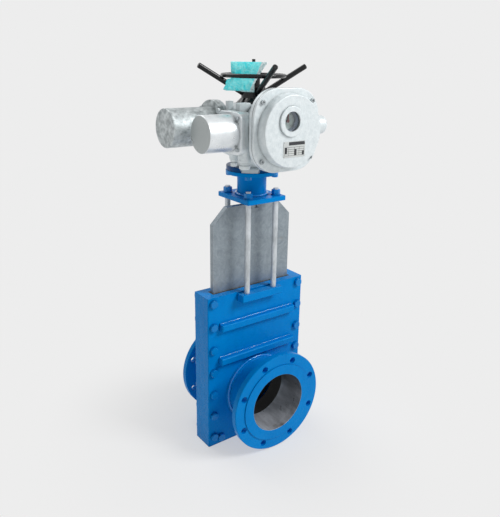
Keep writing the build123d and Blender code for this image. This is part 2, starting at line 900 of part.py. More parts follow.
def control_box():
    front = control_face + control_flange_thickness
    box = Pos(0, 0, control_height) * cone_y(control_radius, control_back_radius, front, control_back)
    flange = extrude(cover_outline(), control_flange_thickness)
    return box + Pos(0, front, control_height) * Rot(90, 0, 0) * flange


def terminal_box():
    box = on_terminal_axis(terminal_boss_radius, terminal_face + 1, -worm_boss_start)
    box += terminal_flange(terminal_face, terminal_face + terminal_flange_thickness)
    boss_top = terminal_z - gland_boss_drop
    bosses = round_z(large_gland_radius + 2, large_gland_top, boss_top, gland_x, large_gland_y)
    bosses += round_z(small_gland_radius + 2, small_gland_top, boss_top, gland_x, small_gland_y)
    return box + (bosses & block(terminal_face, 0, -2 * housing_radius, 0, base_flange_top, housing_top))


def housing_ribs():
    x0, x1, y0, y1 = housing_rib
    ribs = block(x0, x1, y0, y1, worm_height, worm_height + housing_rib_rise)
    x0, x1, y0, y1 = housing_lug
    lug = block(x0, x1, y0, y1, worm_height, worm_height + housing_lug_rise)
    return ribs + fillet(lug.edges().filter_by(Axis.Y).group_by(Axis.Z)[-1], housing_lug_rounding)


def gear_housing():
    # The casting comes first, then the compartments and bosses, then the bores and chambers.
    cast = housing_casting() + control_box() + terminal_box() + housing_ribs()
    flange_right = motor_face + motor_flange_thickness
    cast += on_motor_axis(motor_radius, motor_face, -worm_boss_start)
    cast += on_motor_axis(motor_flange_radius, motor_face, flange_right)
    cast += round_x(worm_boss_radius, worm_boss_start, worm_boss_end, -worm_offset, worm_height)
    lever_boss_radius = lever_shaft_radius + lever_boss_wall
    cast += round_y(lever_boss_radius, lever_boss_start, lever_boss_end, 0, lever_height)
    cast -= round_z(gear_chamber_radius, housing_floor, gear_chamber_top)
    cast -= round_z(lower_bearing_radius + running_gap, sleeve_bottom, housing_floor)
    cast -= round_z(sleeve_radius + stem_clearance, base_flange_top, sleeve_bottom)
    cast -= round_z(hub_spigot_radius + hub_bush_wall + running_gap, gear_chamber_top, housing_top)
    x0 = reduction_gear_left - reduction_gear_gap
    x1 = reduction_gear_right + reduction_gear_gap
    cast -= round_x(worm_chamber_radius, x0 - reduction_gear_gap, worm_boss_end, -worm_offset, worm_height)
    idler_y, idler_z = idler_place()
    cast -= round_x(worm_gear_radius + tooth_room, x0, x1, -worm_offset, worm_height)
    cast -= round_x(idler_radius + tooth_room, x0, x1, idler_y, idler_z)
    cast -= on_motor_axis(pinion_radius + tooth_room, motor_face, x1)
    cast += round_x(idler_pin_radius, x0 - 1, reduction_gear_right + 1, idler_y, idler_z)
    cast -= at_motor_bolts(motor_bolt_radius + running_gap, motor_face, flange_right)
    bore_end = terminal_face + terminal_bore_depth
    cast -= on_terminal_axis(terminal_bore_radius, terminal_face, bore_end)
    control_bore = control_radius - control_wall
    cast -= round_y(control_bore, control_face, control_face + control_depth, 0, control_height)
    for x, z in cover_bolt_places():
        front = control_face + control_flange_thickness
        cast -= round_y(cover_bolt_radius + running_gap, control_face, front, x, z)
    cast -= round_y(lever_shaft_radius + running_gap, 0, lever_boss_end, 0, lever_height)
    for x, y, z in terminal_bolt_places(terminal_face):
        cast -= round_x(terminal_bolt_radius + running_gap, x, x + terminal_bolt_reach + 1, y, z)
    return cast


def base_flange():
    disc = round_z(base_flange_radius, pedestal_flange_top, base_flange_top)
    disc = chamfer(disc.edges().filter_by(GeomType.CIRCLE), 1)
    disc -= round_z(sleeve_radius + stem_clearance, pedestal_flange_top, base_flange_top)
    hole_top = base_flange_top - blind_hole_floor
    for x, y in pedestal_bolt_places():
        disc -= round_z(pedestal_bolt_radius + running_gap, pedestal_flange_top, hole_top, x, y)
    return disc


def cover_bolt_places():
    return [
        (sx * cover_bolt_x, control_height + sz * cover_bolt_z) for sx in (-1, 1) for sz in (-1, 1)
    ]


def cover_outline():
    return RectangleRounded(control_flange_width, control_flange_width, control_corner_radius)


def cover_gasket():
    sheet = Pos(0, control_face, control_height) * Rot(90, 0, 0) * extrude(cover_outline(), gasket_thickness)
    sheet -= round_y(control_radius - control_wall, cover_back, control_face, 0, control_height)
    for x, z in cover_bolt_places():
        sheet -= round_y(cover_bolt_radius + loose_gap, cover_back, control_face, x, z)
    return sheet


def control_cover():
    plate = extrude(cover_outline(), cover_flange_thickness)
    plate = Pos(0, cover_back, control_height) * Rot(90, 0, 0) * plate
    plate = fillet(plate.edges().group_by(Axis.Y)[0], cover_edge_rounding)
    drum = Pos(0, cover_front / 2 + drum_back / 2, control_height) * Rot(90, 0, 0)
    drum *= Cone(cover_drum_radius + cover_drum_taper, cover_drum_radius, cover_drum_depth)
    drum = fillet(drum.edges().filter_by(GeomType.CIRCLE).group_by(Axis.Y)[0], cover_drum_rounding)
    shell = plate + drum
    shell -= round_y(cover_drum_radius - cover_wall, cover_front + cover_wall, cover_back, 0, control_height)
    shell -= round_y(window_radius, cover_front, cover_front + cover_wall, window_x, window_z)
    shell -= round_y(glass_radius + loose_gap, cover_front, cover_front + glass_thickness, window_x, window_z)
    for x, z in cover_bolt_places():
        shell -= round_y(cover_bolt_radius + loose_gap, drum_back, cover_back, x, z)
    return shell


def cover_bolts():
    bolts = []
    for x, z in cover_bolt_places():
        head = round_y(cover_bolt_head_radius, drum_back - cover_bolt_head, drum_back, x, z)
        socket = extrude(RegularPolygon(cover_socket_across / 2, 6, major_radius=False), cover_socket_depth)
        head -= Pos(x, drum_back - cover_bolt_head, z) * Rot(-90, 0, 0) * socket
        front = control_face + control_flange_thickness
        bolts.append(head + round_y(cover_bolt_radius, drum_back, front, x, z))
    return bolts


def window_bezel():
    ring = round_y(window_rim_radius, cover_front - window_rim_height, cover_front, window_x, window_z)
    ring = fillet(ring.edges().group_by(Axis.Y)[0], 2)
    return ring - round_y(window_radius, cover_front - window_rim_height, cover_front, window_x, window_z)


def window_glass():
    return round_y(glass_radius, cover_front, cover_front + glass_thickness, window_x, window_z)


def position_dial():
    front = dial_back - dial_thickness
    dial = round_y(dial_radius, front, dial_back, window_x, window_z)
    return dial - round_y(indicator_shaft_radius + loose_gap, front, dial_back, window_x, window_z)


def indicator_gearbox():
    back = control_face + control_depth
    left = window_x - indicator_box_half_width
    right = window_x + indicator_box_half_width
    bottom = window_z - indicator_box_below
    box = block(left, right, dial_back, back, bottom, window_z + indicator_box_above)
    box = fillet(box.edges().filter_by(Axis.Y), indicator_box_rounding)
    return box - round_y(indicator_shaft_radius + running_gap, dial_back, back, window_x, window_z)


def limit_switches():
    back = control_face + control_depth
    front = back - switch_depth
    bottom = control_height - switch_bottom_drop
    top = control_height - switch_top_drop
    blocks = []
    for side in (-1, 1):
        left = side * switch_offset - switch_half_width
        blocks.append(block(left, left + 2 * switch_half_width, front, back, bottom, top))
    return blocks


def pointer():
    back = dial_back - dial_thickness - pointer_gap
    front = back - pointer_thickness
    hand = block(-pointer_width / 2, pointer_width / 2, front, back, 0, pointer_length)
    hand += round_y(pointer_width, front, back)
    hand += round_y(indicator_shaft_radius, back, control_face + control_depth - indicator_shaft_tail)
    return Pos(window_x, 0, window_z) * hand


def rating_plate():
    plate = block(
        rating_plate_left,
        rating_plate_right,
        cover_front - rating_plate_thickness,
        cover_front,
        control_height - rating_plate_bottom_drop,
        control_height - rating_plate_top_drop,
    )
    return fillet(plate.edges().filter_by(Axis.Y), 2)


def terminal_bolt_places(x):
    places = []
    for turn in bolt_turns:
        y = terminal_y + terminal_bolt_circle / 2 * cos(radians(turn))
        z = terminal_z + terminal_bolt_circle / 2 * sin(radians(turn))
        places.append((x, y, z))
    return places


def on_terminal_axis(radius, x0, x1):
    return round_x(radius, x0, x1, terminal_y, terminal_z)


def terminal_flange(x0, x1):
    outline = RectangleRounded(terminal_flange_width, terminal_flange_width, terminal_corner_radius)
    return Pos(x0, terminal_y, terminal_z) * Rot(0, 90, 0) * extrude(outline, x1 - x0)


def terminal_cover():
    flange_left = terminal_face - terminal_flange_thickness
    cup = on_terminal_axis(terminal_cover_radius, terminal_cover_end, terminal_face)
    cup = fillet(cup.edges().filter_by(GeomType.CIRCLE).group_by(Axis.X)[0], terminal_end_rounding)
    flange = terminal_flange(flange_left, terminal_face)
    cup += chamfer(flange.edges().group_by(Axis.X)[0], terminal_edge_chamfer)
    inner = terminal_cover_radius - terminal_cover_wall
    cup -= on_terminal_axis(inner, terminal_cover_end + terminal_cover_wall, terminal_face)
    for left, y, z in terminal_bolt_places(flange_left):
        cup -= round_x(terminal_bolt_radius + loose_gap, left, terminal_face, y, z)
    return cup


def terminal_screws():
    screws = []
    flange_left = terminal_face - terminal_flange_thickness
    for x, y, z in terminal_bolt_places(flange_left):
        head = round_x(terminal_bolt_head_radius, x - terminal_bolt_head, x, y, z)
        screws.append(head + round_x(terminal_bolt_radius, x, terminal_face + terminal_bolt_reach, y, z))
    return screws


def terminal_board():
    # A disc on a post, with two rows of terminals.
    front = terminal_face + terminal_board_gap
    back = front + terminal_board_thickness
    board = on_terminal_axis(terminal_bore_radius - 2, front, back)
    board += on_terminal_axis(terminal_post_radius, back, terminal_face + terminal_bore_depth)
    for row in (-1, 1):
        for step in range(-terminal_pins_each_side, terminal_pins_each_side + 1):
            y = terminal_y + step * terminal_pin_pitch
            z = terminal_z + row * terminal_row_offset
            board += round_x(terminal_pin_radius, front - 2 * terminal_board_gap, front, y, z)
    return board


def cable_gland(radius, top, height, y):
    # A turned body with a collar above and a rounded compression nut below.
    bottom = top - height
    bore = radius * gland_bore_ratio
    waist = radius - gland_step
    profile = Polyline(
        (bore, bottom),
        (waist - gland_step, bottom),
        (waist, bottom + gland_step),
        (waist, bottom + gland_nut_height),
        (waist - gland_step, bottom + gland_nut_height),
        (waist - gland_step, top - gland_collar),
        (radius, top - gland_collar),
        (radius, top),
        (bore, top),
        close=True,
    )
    return Pos(gland_x, y, 0) * revolve(Plane.XZ * make_face(profile), Axis.Z)


def gland_plug(radius, top, height, y):
    return round_z(radius * gland_bore_ratio - running_gap, top - height + gland_plug_recess, top, gland_x, y)


def cable_glands():
    sizes = [
        (large_gland_radius, large_gland_top, large_gland_height, large_gland_y),
        (small_gland_radius, small_gland_top, small_gland_height, small_gland_y),
    ]
    return [cable_gland(*size) for size in sizes] + [gland_plug(*size) for size in sizes]


def on_worm_axis(radius, x0, x1):
    return round_x(radius, x0, x1, -worm_offset, worm_height)


def worm_cap():
    flange_end = worm_boss_end + cap_flange_thickness
    cap = on_worm_axis(cap_radius, flange_end, cap_end)
    cap = fillet(cap.edges().filter_by(GeomType.CIRCLE).group_by(Axis.X)[-1], cap_rounding)
    cap += on_worm_axis(worm_boss_radius, worm_boss_end, flange_end)
    return cap - on_worm_axis(cap_inner_radius, worm_boss_end, cap_end - cap_wall)


def torque_springs():
    springs = []
    for step in range(spring_count):
        x0 = spring_start + step * spring_pitch
        x1 = x0 + spring_thickness
        disc = on_worm_axis(spring_radius, x0, x1)
        springs.append(disc - on_worm_axis(worm_shaft_radius + loose_gap, x0, x1))
    return springs


def shaft_bearings():
    rings = []
    for x0 in worm_bearing_lefts:
        x1 = x0 + bearing_width
        outer = on_worm_axis(worm_chamber_radius - bearing_gap, x0, x1)
        rings.append(outer - on_worm_axis(worm_shaft_radius + running_gap, x0, x1))
    for x0 in (motor_end + motor_wall, motor_face - bearing_width - 2):
        x1 = x0 + bearing_width
        outer = on_motor_axis(motor_radius - motor_wall - bearing_gap, x0, x1)
        rings.append(outer - on_motor_axis(motor_shaft_radius + running_gap, x0, x1))
    return rings


def stator_ends():
    left = (motor_end + motor_face - stator_length) / 2
    return left, left + stator_length


def motor_stator():
    outer = on_motor_axis(motor_radius - motor_wall - bearing_gap, *stator_ends())
    return outer - on_motor_axis(stator_inner_radius, *stator_ends())


def motor_rotor():
    rotor = on_motor_axis(stator_inner_radius - rotor_gap, *stator_ends())
    return rotor + on_motor_axis(motor_shaft_radius, motor_end + motor_wall + 2, reduction_gear_right + 2)


def line_turn():
    # The turn, about the shafts, of the line from the worm shaft to the motor shaft.
    return degrees(atan2(motor_y + worm_offset, -(motor_height - worm_height)))


def worm_gear_start():
    # A tooth points along the line of centres.
    return line_turn()


def idler_gear():
    # A gap faces the tooth of the gear on the worm shaft.
    y, z = idler_place()
    start = line_turn() + 180 + 180 / idler_teeth
    return spur_gear(idler_teeth, idler_pin_radius + running_gap, y, z, start)


def motor_pinion():
    # The pinion takes its start from the idler's tooth that lies nearest to the line of centres.
    idler_phase = (180 + 180 / idler_teeth) % (360 / idler_teeth)
    start = line_turn() + 180 + 180 / pinion_teeth + idler_phase * idler_teeth / pinion_teeth
    bore = motor_shaft_radius + press_gap
    return spur_gear(pinion_teeth, bore, motor_y, motor_height, start)


def motor_bolts():
    left = motor_face - motor_flange_thickness
    bolts = []
    for y, z in motor_bolt_places():
        head = Pos(left, y, z) * Rot(0, -90, 0) * hex_solid(motor_bolt_across, motor_bolt_head)
        bolts.append(head + round_x(motor_bolt_radius, left, motor_face + motor_flange_thickness, y, z))
    return bolts


def handwheel_bush():
    outer = hub_spigot_radius + hub_bush_wall
    return ring_z(outer, hub_spigot_radius + running_gap, gear_chamber_top + 1, housing_top)


def handwheel_hub():
    base = housing_top + loose_gap
    profile = Polyline(
        (stem_radius + stem_clearance, base - hub_spigot_length),
        (hub_spigot_radius, base - hub_spigot_length),
        (hub_spigot_radius, base),
        (hub_base_radius, base),
        (hub_radius, base + hub_cone_height),
        (hub_radius, hub_top - hub_rounding),
        (hub_radius - hub_rounding, hub_top),
        (stem_radius + stem_clearance, hub_top),
        close=True,
    )
    hub = revolve(Plane.XZ * make_face(profile), Axis.Z)
    return hub - [spoke_shape(spoke_radius + running_gap, turn) for turn in spoke_turns()]


def spoke_turns():
    return [spoke_start_angle + 360 / spoke_count * step for step in range(spoke_count)]


def spoke_shape(radius, turn):
    run = spoke_tip_radius - spoke_root_radius
    rise = run * tan(radians(spoke_slope))
    length = sqrt(run * run + rise * rise)
    bar = Pos(0, 0, length / 2) * Cylinder(radius, length)
    bar = Rot(0, 90 - spoke_slope, 0) * bar
    return Rot(0, 0, turn) * Pos(spoke_root_radius, 0, spoke_tip_height - rise) * bar


def handwheel_spokes():
    spokes = []
    for turn in spoke_turns():
        spoke = spoke_shape(spoke_radius, turn)
        tip = spoke.edges().filter_by(GeomType.CIRCLE).group_by(Axis.Z)[-1]
        spokes.append(chamfer(tip, spoke_chamfer))
    return spokes


def handwheel_ring():
    # The ring lies on top of the four spokes.
    return [Pos(0, 0, ring_height) * Torus(ring_radius, ring_tube_radius)]


def stem_cover():
    return ring_z(stem_cover_radius, stem_cover_radius - stem_cover_wall, hub_top, stem_cover_top)


def stem_cover_cap():
    top = stem_cover_top + cover_cap_floor
    bottom = top - cover_cap_height
    cap = round_z(cover_cap_radius, bottom, top)
    cap = fillet(cap.edges().group_by(Axis.Z)[-1], 2)
    cap += round_z(vent_plug_radius, top, top + vent_plug_height)
    return cap - round_z(stem_cover_radius + running_gap, bottom, stem_cover_top)


def lever_pin_place():
    x = lever_throw * cos(radians(lever_start_angle))
    z = lever_height + lever_throw * sin(radians(lever_start_angle))
    return x, z


def lever_shaft():
    x, z = lever_pin_place()
    crank_front = lever_crank_back + lever_crank_thickness
    crank_radius = lever_throw + lever_pin_radius + lever_crank_margin
    shaft_end = lever_boss_end + lever_thickness + lever_crank_margin
    shaft = round_y(lever_shaft_radius, lever_crank_back, shaft_end, 0, lever_height)
    crank = round_y(crank_radius, lever_crank_back, crank_front, 0, lever_height)
    pin_end = clutch_radius - clutch_groove_depth + lever_crank_margin
    return shaft + crank + round_y(lever_pin_radius, pin_end, lever_crank_back, x, z)


def switch_lever():
    y0 = lever_boss_end + loose_gap
    y1 = y0 + lever_thickness
    arm = block(0, lever_length, y0, y1, lever_height - lever_half_width, lever_height + lever_half_width)
    arm += round_y(lever_hub_radius, y0, y1, 0, lever_height)
    arm += round_y(lever_knob_radius, y0, y1 + lever_knob_length, lever_length, lever_height)
    return arm - round_y(lever_shaft_radius + press_gap, y0, y1, 0, lever_height)


def document_pouch():
    # A flat bag that stands inside the ring, leans past the left spoke and clears the front one.
    corners = [(side, housing_top + rise) for side, rise in pouch_outline]
    outline = Plane.XZ * make_face(Polyline(*corners, close=True))
    bag = extrude(outline, pouch_thickness / 2, both=True)
    return Rot(0, 0, pouch_turn) * Pos(0, -pouch_distance, 0) * bag


def both_ends(shape):
    return [shape, to_rear(shape)]


def main():
    os.makedirs("parts", exist_ok=True)
    # Valve body
    save(body_plate(), "front_body_plate")
    save(to_rear(body_plate()), "rear_body_plate")
    save(group(both_ends(side_bar())), "side_bars")
    save(bottom_bar(), "bottom_bar")
    save(group(both_ends(gate_guide())), "gate_guides")
    save(gate_packing(), "gate_packing")
    save(group(both_ends(seat_sleeve())), "seat_sleeves")
    save(group(both_ends(neck())), "pipe_necks")
    save(end_flange(), "front_flange")
    save(to_rear(end_flange()), "rear_flange")
    save(group(stiffeners() + [to_rear(bar) for bar in stiffeners()]), "stiffener_bars")
    save(group(body_bolts()), "body_bolts")
    save(group(body_nuts()), "body_nuts")
    # Yoke and pedestal
    save(group(both_ends(rod_bracket())), "rod_brackets")
    save(group(tie_rods()), "tie_rods")
    save(group(rod_nuts() + rod_washers()), "tie_rod_nuts")
    save(yoke_plate(), "yoke_plate")
    save(pedestal_tube(), "pedestal_tube")
    save(pedestal_flange(), "pedestal_flange")
    save(group(pedestal_bolts()), "pedestal_bolts")
    # Gate and stem
    save(gate(), "gate")
    save(stem(), "stem")
    save(stem_nut(), "stem_nut")
    # Drive train inside the housing
    save(drive_sleeve(), "drive_sleeve")
    save(lower_bearing(), "sleeve_bearing")
    save(worm_wheel(), "worm_wheel")
    save(clutch_ring(), "clutch_ring")
    save(worm_shaft(), "worm_shaft")
    save(worm_gear(), "worm_shaft_gear")
    save(idler_gear(), "idler_gear")
    save(motor_pinion(), "motor_pinion")
    save(group(shaft_bearings()), "shaft_bearings")
    save(group(torque_springs()), "torque_springs")
    save(lever_shaft(), "lever_shaft")
    save(switch_lever(), "switch_lever")
    # Actuator casings
    save(base_flange(), "actuator_base_flange")
    save(gear_housing(), "gear_housing")
    save(worm_cap(), "torque_spring_cap")
    save(motor_shell(), "motor_shell")
    save(motor_stator(), "motor_stator")
    save(motor_rotor(), "motor_rotor")
    save(group(motor_bolts()), "motor_bolts")
    # Control compartment
    save(cover_gasket(), "control_gasket")
    save(control_cover(), "control_cover")
    save(group(cover_bolts()), "control_cover_bolts")
    save(window_bezel(), "window_bezel")
    save(window_glass(), "window_glass")
    save(position_dial(), "position_dial")
    save(pointer(), "position_pointer")
    save(group([indicator_gearbox()] + limit_switches()), "switch_unit")
    save(rating_plate(), "rating_plate")
    # Terminal compartment
    save(terminal_cover(), "terminal_cover")
    save(group(terminal_screws()), "terminal_screws")
    save(terminal_board(), "terminal_board")
    save(group(cable_glands()), "cable_glands")
    # Handwheel
    save(handwheel_bush(), "handwheel_bush")
    save(handwheel_hub(), "handwheel_hub")
    save(group(handwheel_spokes() + handwheel_ring()), "handwheel_rim")
    save(group([stem_cover(), stem_cover_cap()]), "stem_cover")
    save(document_pouch(), "document_pouch")


main()
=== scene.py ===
import json
import math
import random

import bmesh
import bpy
from mathutils import Matrix, Vector, noise


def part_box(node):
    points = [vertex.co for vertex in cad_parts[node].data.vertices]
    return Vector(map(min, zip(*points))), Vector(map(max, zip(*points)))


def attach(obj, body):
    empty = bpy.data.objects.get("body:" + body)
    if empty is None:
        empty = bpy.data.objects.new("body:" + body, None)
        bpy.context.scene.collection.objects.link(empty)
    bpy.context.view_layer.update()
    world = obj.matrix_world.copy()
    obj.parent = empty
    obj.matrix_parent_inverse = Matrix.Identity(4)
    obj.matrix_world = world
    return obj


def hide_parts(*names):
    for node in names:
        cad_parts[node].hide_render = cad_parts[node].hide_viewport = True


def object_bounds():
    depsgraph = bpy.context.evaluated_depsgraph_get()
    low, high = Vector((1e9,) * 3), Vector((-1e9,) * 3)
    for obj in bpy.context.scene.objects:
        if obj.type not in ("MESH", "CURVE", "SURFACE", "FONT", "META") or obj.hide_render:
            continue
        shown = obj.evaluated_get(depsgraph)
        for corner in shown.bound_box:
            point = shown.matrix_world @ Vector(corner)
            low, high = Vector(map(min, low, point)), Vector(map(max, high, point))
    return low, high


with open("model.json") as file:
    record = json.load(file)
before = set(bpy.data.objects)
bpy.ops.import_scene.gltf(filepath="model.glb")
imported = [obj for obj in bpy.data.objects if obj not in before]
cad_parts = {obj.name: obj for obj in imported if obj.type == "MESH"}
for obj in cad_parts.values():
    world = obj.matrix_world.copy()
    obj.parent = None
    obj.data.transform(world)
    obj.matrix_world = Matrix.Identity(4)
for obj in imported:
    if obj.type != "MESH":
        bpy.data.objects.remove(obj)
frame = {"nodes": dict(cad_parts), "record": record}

cadLow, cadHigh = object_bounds()
nodes = frame["nodes"]
random.seed(7)

# Camera, set where the photograph was taken from
cameraSpot = {
    "place": (-1.0640, -1.4464, 1.0845),
    "azimuth": -36.68,
    "elevation": 18.07,
    "roll": 1.03,
    "lens": 40.43,
    "shift": (-0.0078, -0.0252),
}


def placeCamera(spot):
    turn, tilt = math.radians(spot["azimuth"]), math.radians(spot["elevation"])
    roll = math.radians(spot["roll"])
    back = Vector((math.sin(turn) * math.cos(tilt), -math.cos(turn) * math.cos(tilt), math.sin(tilt)))
    right = (-back).cross(Vector((0, 0, 1))).normalized()
    up = right.cross(-back)
    rolledRight = math.cos(roll) * right + math.sin(roll) * up
    rolledUp = -math.sin(roll) * right + math.cos(roll) * up
    data = bpy.data.cameras.new("camera")
    data.lens = spot["lens"]
    data.shift_x, data.shift_y = spot["shift"]
    data.clip_end = 60
    camera = bpy.data.objects.new("camera", data)
    bpy.context.scene.collection.objects.link(camera)
    axes = Matrix((rolledRight, rolledUp, back)).transposed().to_4x4()
    camera.matrix_world = Matrix.Translation(spot["place"]) @ axes
    bpy.context.scene.camera = camera


placeCamera(cameraSpot)
print("camera placed")

# Studio: pale floor that fades into the backdrop, soft lamps
studio = {
    "backdrop": (0.847, 0.847, 0.847),
    "floorTint": (0.98, 0.98, 0.98),
    "floorFade": (0.15, 0.8),
    "floorGlow": 0.55,
    "ambient": 0.27,
    "key": {"place": (1.9, -2.6, 3.1), "aim": (0, 0, 0.5), "size": 1.5, "power": 118},
    "fill": {"place": (-3.2, -1.2, 1.6), "aim": (0, 0, 0.4), "size": 2.4, "power": 1},
    "rim": {"place": (-0.4, 2.2, 3.6), "aim": (0, 0, 0.8), "size": 2.0, "power": 42},
}


def addLamp(name, lamp):
    data = bpy.data.lights.new(name, "AREA")
    data.size = lamp["size"]
    data.energy = lamp["power"]
    light = bpy.data.objects.new(name, data)
    bpy.context.scene.collection.objects.link(light)
    aim = Vector(lamp["aim"]) - Vector(lamp["place"])
    light.matrix_world = Matrix.Translation(lamp["place"]) @ aim.to_track_quat("-Z", "Y").to_matrix().to_4x4()


def seenShare(tree):
    # 1 for rays that come from the camera, a gloss or a glass
    path = tree.nodes.new("ShaderNodeLightPath")
    first = tree.nodes.new("ShaderNodeMath")
    first.operation = "MAXIMUM"
    second = tree.nodes.new("ShaderNodeMath")
    second.operation = "MAXIMUM"
    tree.links.new(path.outputs["Is Camera Ray"], first.inputs[0])
    tree.links.new(path.outputs["Is Glossy Ray"], first.inputs[1])
    tree.links.new(first.outputs[0], second.inputs[0])
    tree.links.new(path.outputs["Is Transmission Ray"], second.inputs[1])
    return second.outputs[0]


def makeWorld(look):
    world = bpy.data.worlds.new("studio")
    bpy.context.scene.world = world
    world.use_nodes = True
    tree = world.node_tree
    tree.nodes.clear()
    output = tree.nodes.new("ShaderNodeOutputWorld")
    mix = tree.nodes.new("ShaderNodeMixShader")
    light = tree.nodes.new("ShaderNodeBackground")
    light.inputs["Color"].default_value = (1, 1, 1, 1)
    light.inputs["Strength"].default_value = look["ambient"]
    shown = tree.nodes.new("ShaderNodeBackground")
    shown.inputs["Color"].default_value = (*look["backdrop"], 1)
    tree.links.new(seenShare(tree), mix.inputs[0])
    tree.links.new(light.outputs[0], mix.inputs[1])
    tree.links.new(shown.outputs[0], mix.inputs[2])
    tree.links.new(mix.outputs[0], output.inputs[0])


def makeFloor(look):
    sheet = bmesh.new()
    bmesh.ops.create_grid(sheet, x_segments=2, y_segments=2, size=25)
    bmesh.ops.translate(sheet, verts=sheet.verts, vec=(0, 0, cadLow.z))
    mesh = bpy.data.meshes.new("floor")
    sheet.to_mesh(mesh)
    sheet.free()
    floor = bpy.data.objects.new("floor", mesh)
    bpy.context.scene.collection.objects.link(floor)
    material = bpy.data.materials.new("floorPaper")
    material.use_nodes = True
    tree = material.node_tree
    tree.nodes.clear()
    output = tree.nodes.new("ShaderNodeOutputMaterial")
    paper = tree.nodes.new("ShaderNodeBsdfDiffuse")
    paper.inputs["Color"].default_value = (*look["floorTint"], 1)
    glow = tree.nodes.new("ShaderNodeEmission")
    glow.inputs["Color"].default_value = (*look["backdrop"], 1)
    place = tree.nodes.new("ShaderNodeTexCoord")
    reach = tree.nodes.new("ShaderNodeVectorMath")
    reach.operation = "LENGTH"
    fade = tree.nodes.new("ShaderNodeMapRange")
    fade.interpolation_type = "SMOOTHSTEP"
    fade.inputs["From Min"].default_value, fade.inputs["From Max"].default_value = look["floorFade"]
    fade.inputs["To Min"].default_value = look["floorGlow"]
    mix = tree.nodes.new("ShaderNodeMixShader")
    tree.links.new(place.outputs["Object"], reach.inputs[0])
    tree.links.new(reach.outputs["Value"], fade.inputs["Value"])
    tree.links.new(fade.outputs[0], mix.inputs[0])
    tree.links.new(paper.outputs[0], mix.inputs[1])
    tree.links.new(glow.outputs[0], mix.inputs[2])
    tree.links.new(mix.outputs[0], output.inputs[0])
    mesh.materials.append(material)


makeWorld(studio)
makeFloor(studio)
for lampName in ("key", "fill", "rim"):
    addLamp(lampName, studio[lampName])
bpy.context.scene.view_settings.view_transform = "Standard"
print("studio lit")

# Materials. All patterns read Object coordinates, in metres.
bareRadius = 0.1004
sprayMiddle = (-0.052, -0.062, 0.764)
gateTop = 0.6414


class Finish:
    def __init__(self, name):
        self.material = bpy.data.materials.new(name)
        self.material.use_nodes = True
        self.tree = self.material.node_tree
        self.shader = self.tree.nodes["Principled BSDF"]
        self.place = self.tree.nodes.new("ShaderNodeTexCoord").outputs["Object"]

    def add(self, kind, **settings):
        node = self.tree.nodes.new("ShaderNode" + kind)
        for key, value in settings.items():
            if key in node.bl_rna.properties:
                setattr(node, key, value)
            else:
                node.inputs[key.replace("_", " ")].default_value = value
        return node

    def join(self, source, target):
        self.tree.links.new(source, target)

    def stretched(self, scale):
        mapping = self.add("Mapping")
        mapping.inputs["Scale"].default_value = scale
        self.join(self.place, mapping.inputs["Vector"])
        return mapping.outputs[0]

    def noise(self, scale, detail=4.0, roughness=0.55, distortion=0.0, stretch=None):
        node = self.add("TexNoise", Scale=scale, Detail=detail, Roughness=roughness, Distortion=distortion)
        self.join(self.stretched(stretch) if stretch else self.place, node.inputs["Vector"])
        return node.outputs["Fac"]

    def ramp(self, value, low, high, start=0.0, end=1.0):
        node = self.add("MapRange")
        node.inputs["From Min"].default_value, node.inputs["From Max"].default_value = low, high
        node.inputs["To Min"].default_value, node.inputs["To Max"].default_value = start, end
        self.join(value, node.inputs["Value"])
        return node.outputs[0]

    def math(self, operation, first, second):
        node = self.add("Math", operation=operation)
        for socket, value in zip(node.inputs, (first, second)):
            if isinstance(value, (int, float)):
                socket.default_value = value
            else:
                self.join(value, socket)
        return node.outputs[0]

    def mix(self, share, first, second):
        node = self.add("Mix", data_type="RGBA")
        for socket, value in ((node.inputs[0], share), (node.inputs[6], first), (node.inputs[7], second)):
            if isinstance(value, float):
                socket.default_value = value
            elif isinstance(value, tuple):
                socket.default_value = paint(value)
            else:
                self.join(value, socket)
        return node.outputs[2]

    def edges(self, radius):
        # 1 where the surface turns within the radius, 0 on a flat
        bevel = self.add("Bevel", samples=6, Radius=radius)
        flat = self.add("NewGeometry")
        dot = self.add("VectorMath", operation="DOT_PRODUCT")
        self.join(bevel.outputs[0], dot.inputs[0])
        self.join(flat.outputs["Normal"], dot.inputs[1])
        return self.ramp(dot.outputs["Value"], 0.995, 0.86)

    def creases(self, distance):
        # 1 in the open, 0 deep in a corner
        node = self.add("AmbientOcclusion", samples=8, Distance=distance)
        return node.outputs["AO"]

    def colour(self, socket):
        self.join(socket, self.shader.inputs["Base Color"])

    def roughness(self, socket):
        self.join(socket, self.shader.inputs["Roughness"])

    def metallic(self, socket):
        self.join(socket, self.shader.inputs["Metallic"])

    def fixed(self, **values):
        for key, value in values.items():
            self.shader.inputs[key.replace("_", " ")].default_value = value

    def bump(self, *layers, rounding=0.0012):
        normal = self.add("Bevel", samples=6, Radius=rounding).outputs[0] if rounding else None
        for height, depth in layers:
            node = self.add("Bump", Strength=1.0, Distance=depth)
            self.join(height, node.inputs["Height"])
            if normal:
                self.join(normal, node.inputs["Normal"])
            normal = node.outputs[0]
        self.join(normal, self.shader.inputs["Normal"])


def paint(rgb):
    # a colour as it is seen, 0 to 255, to a linear one
    return tuple((c / 255 / 12.92) if c < 10 else ((c / 255 + 0.055) / 1.055) ** 2.4 for c in rgb) + (1.0,)


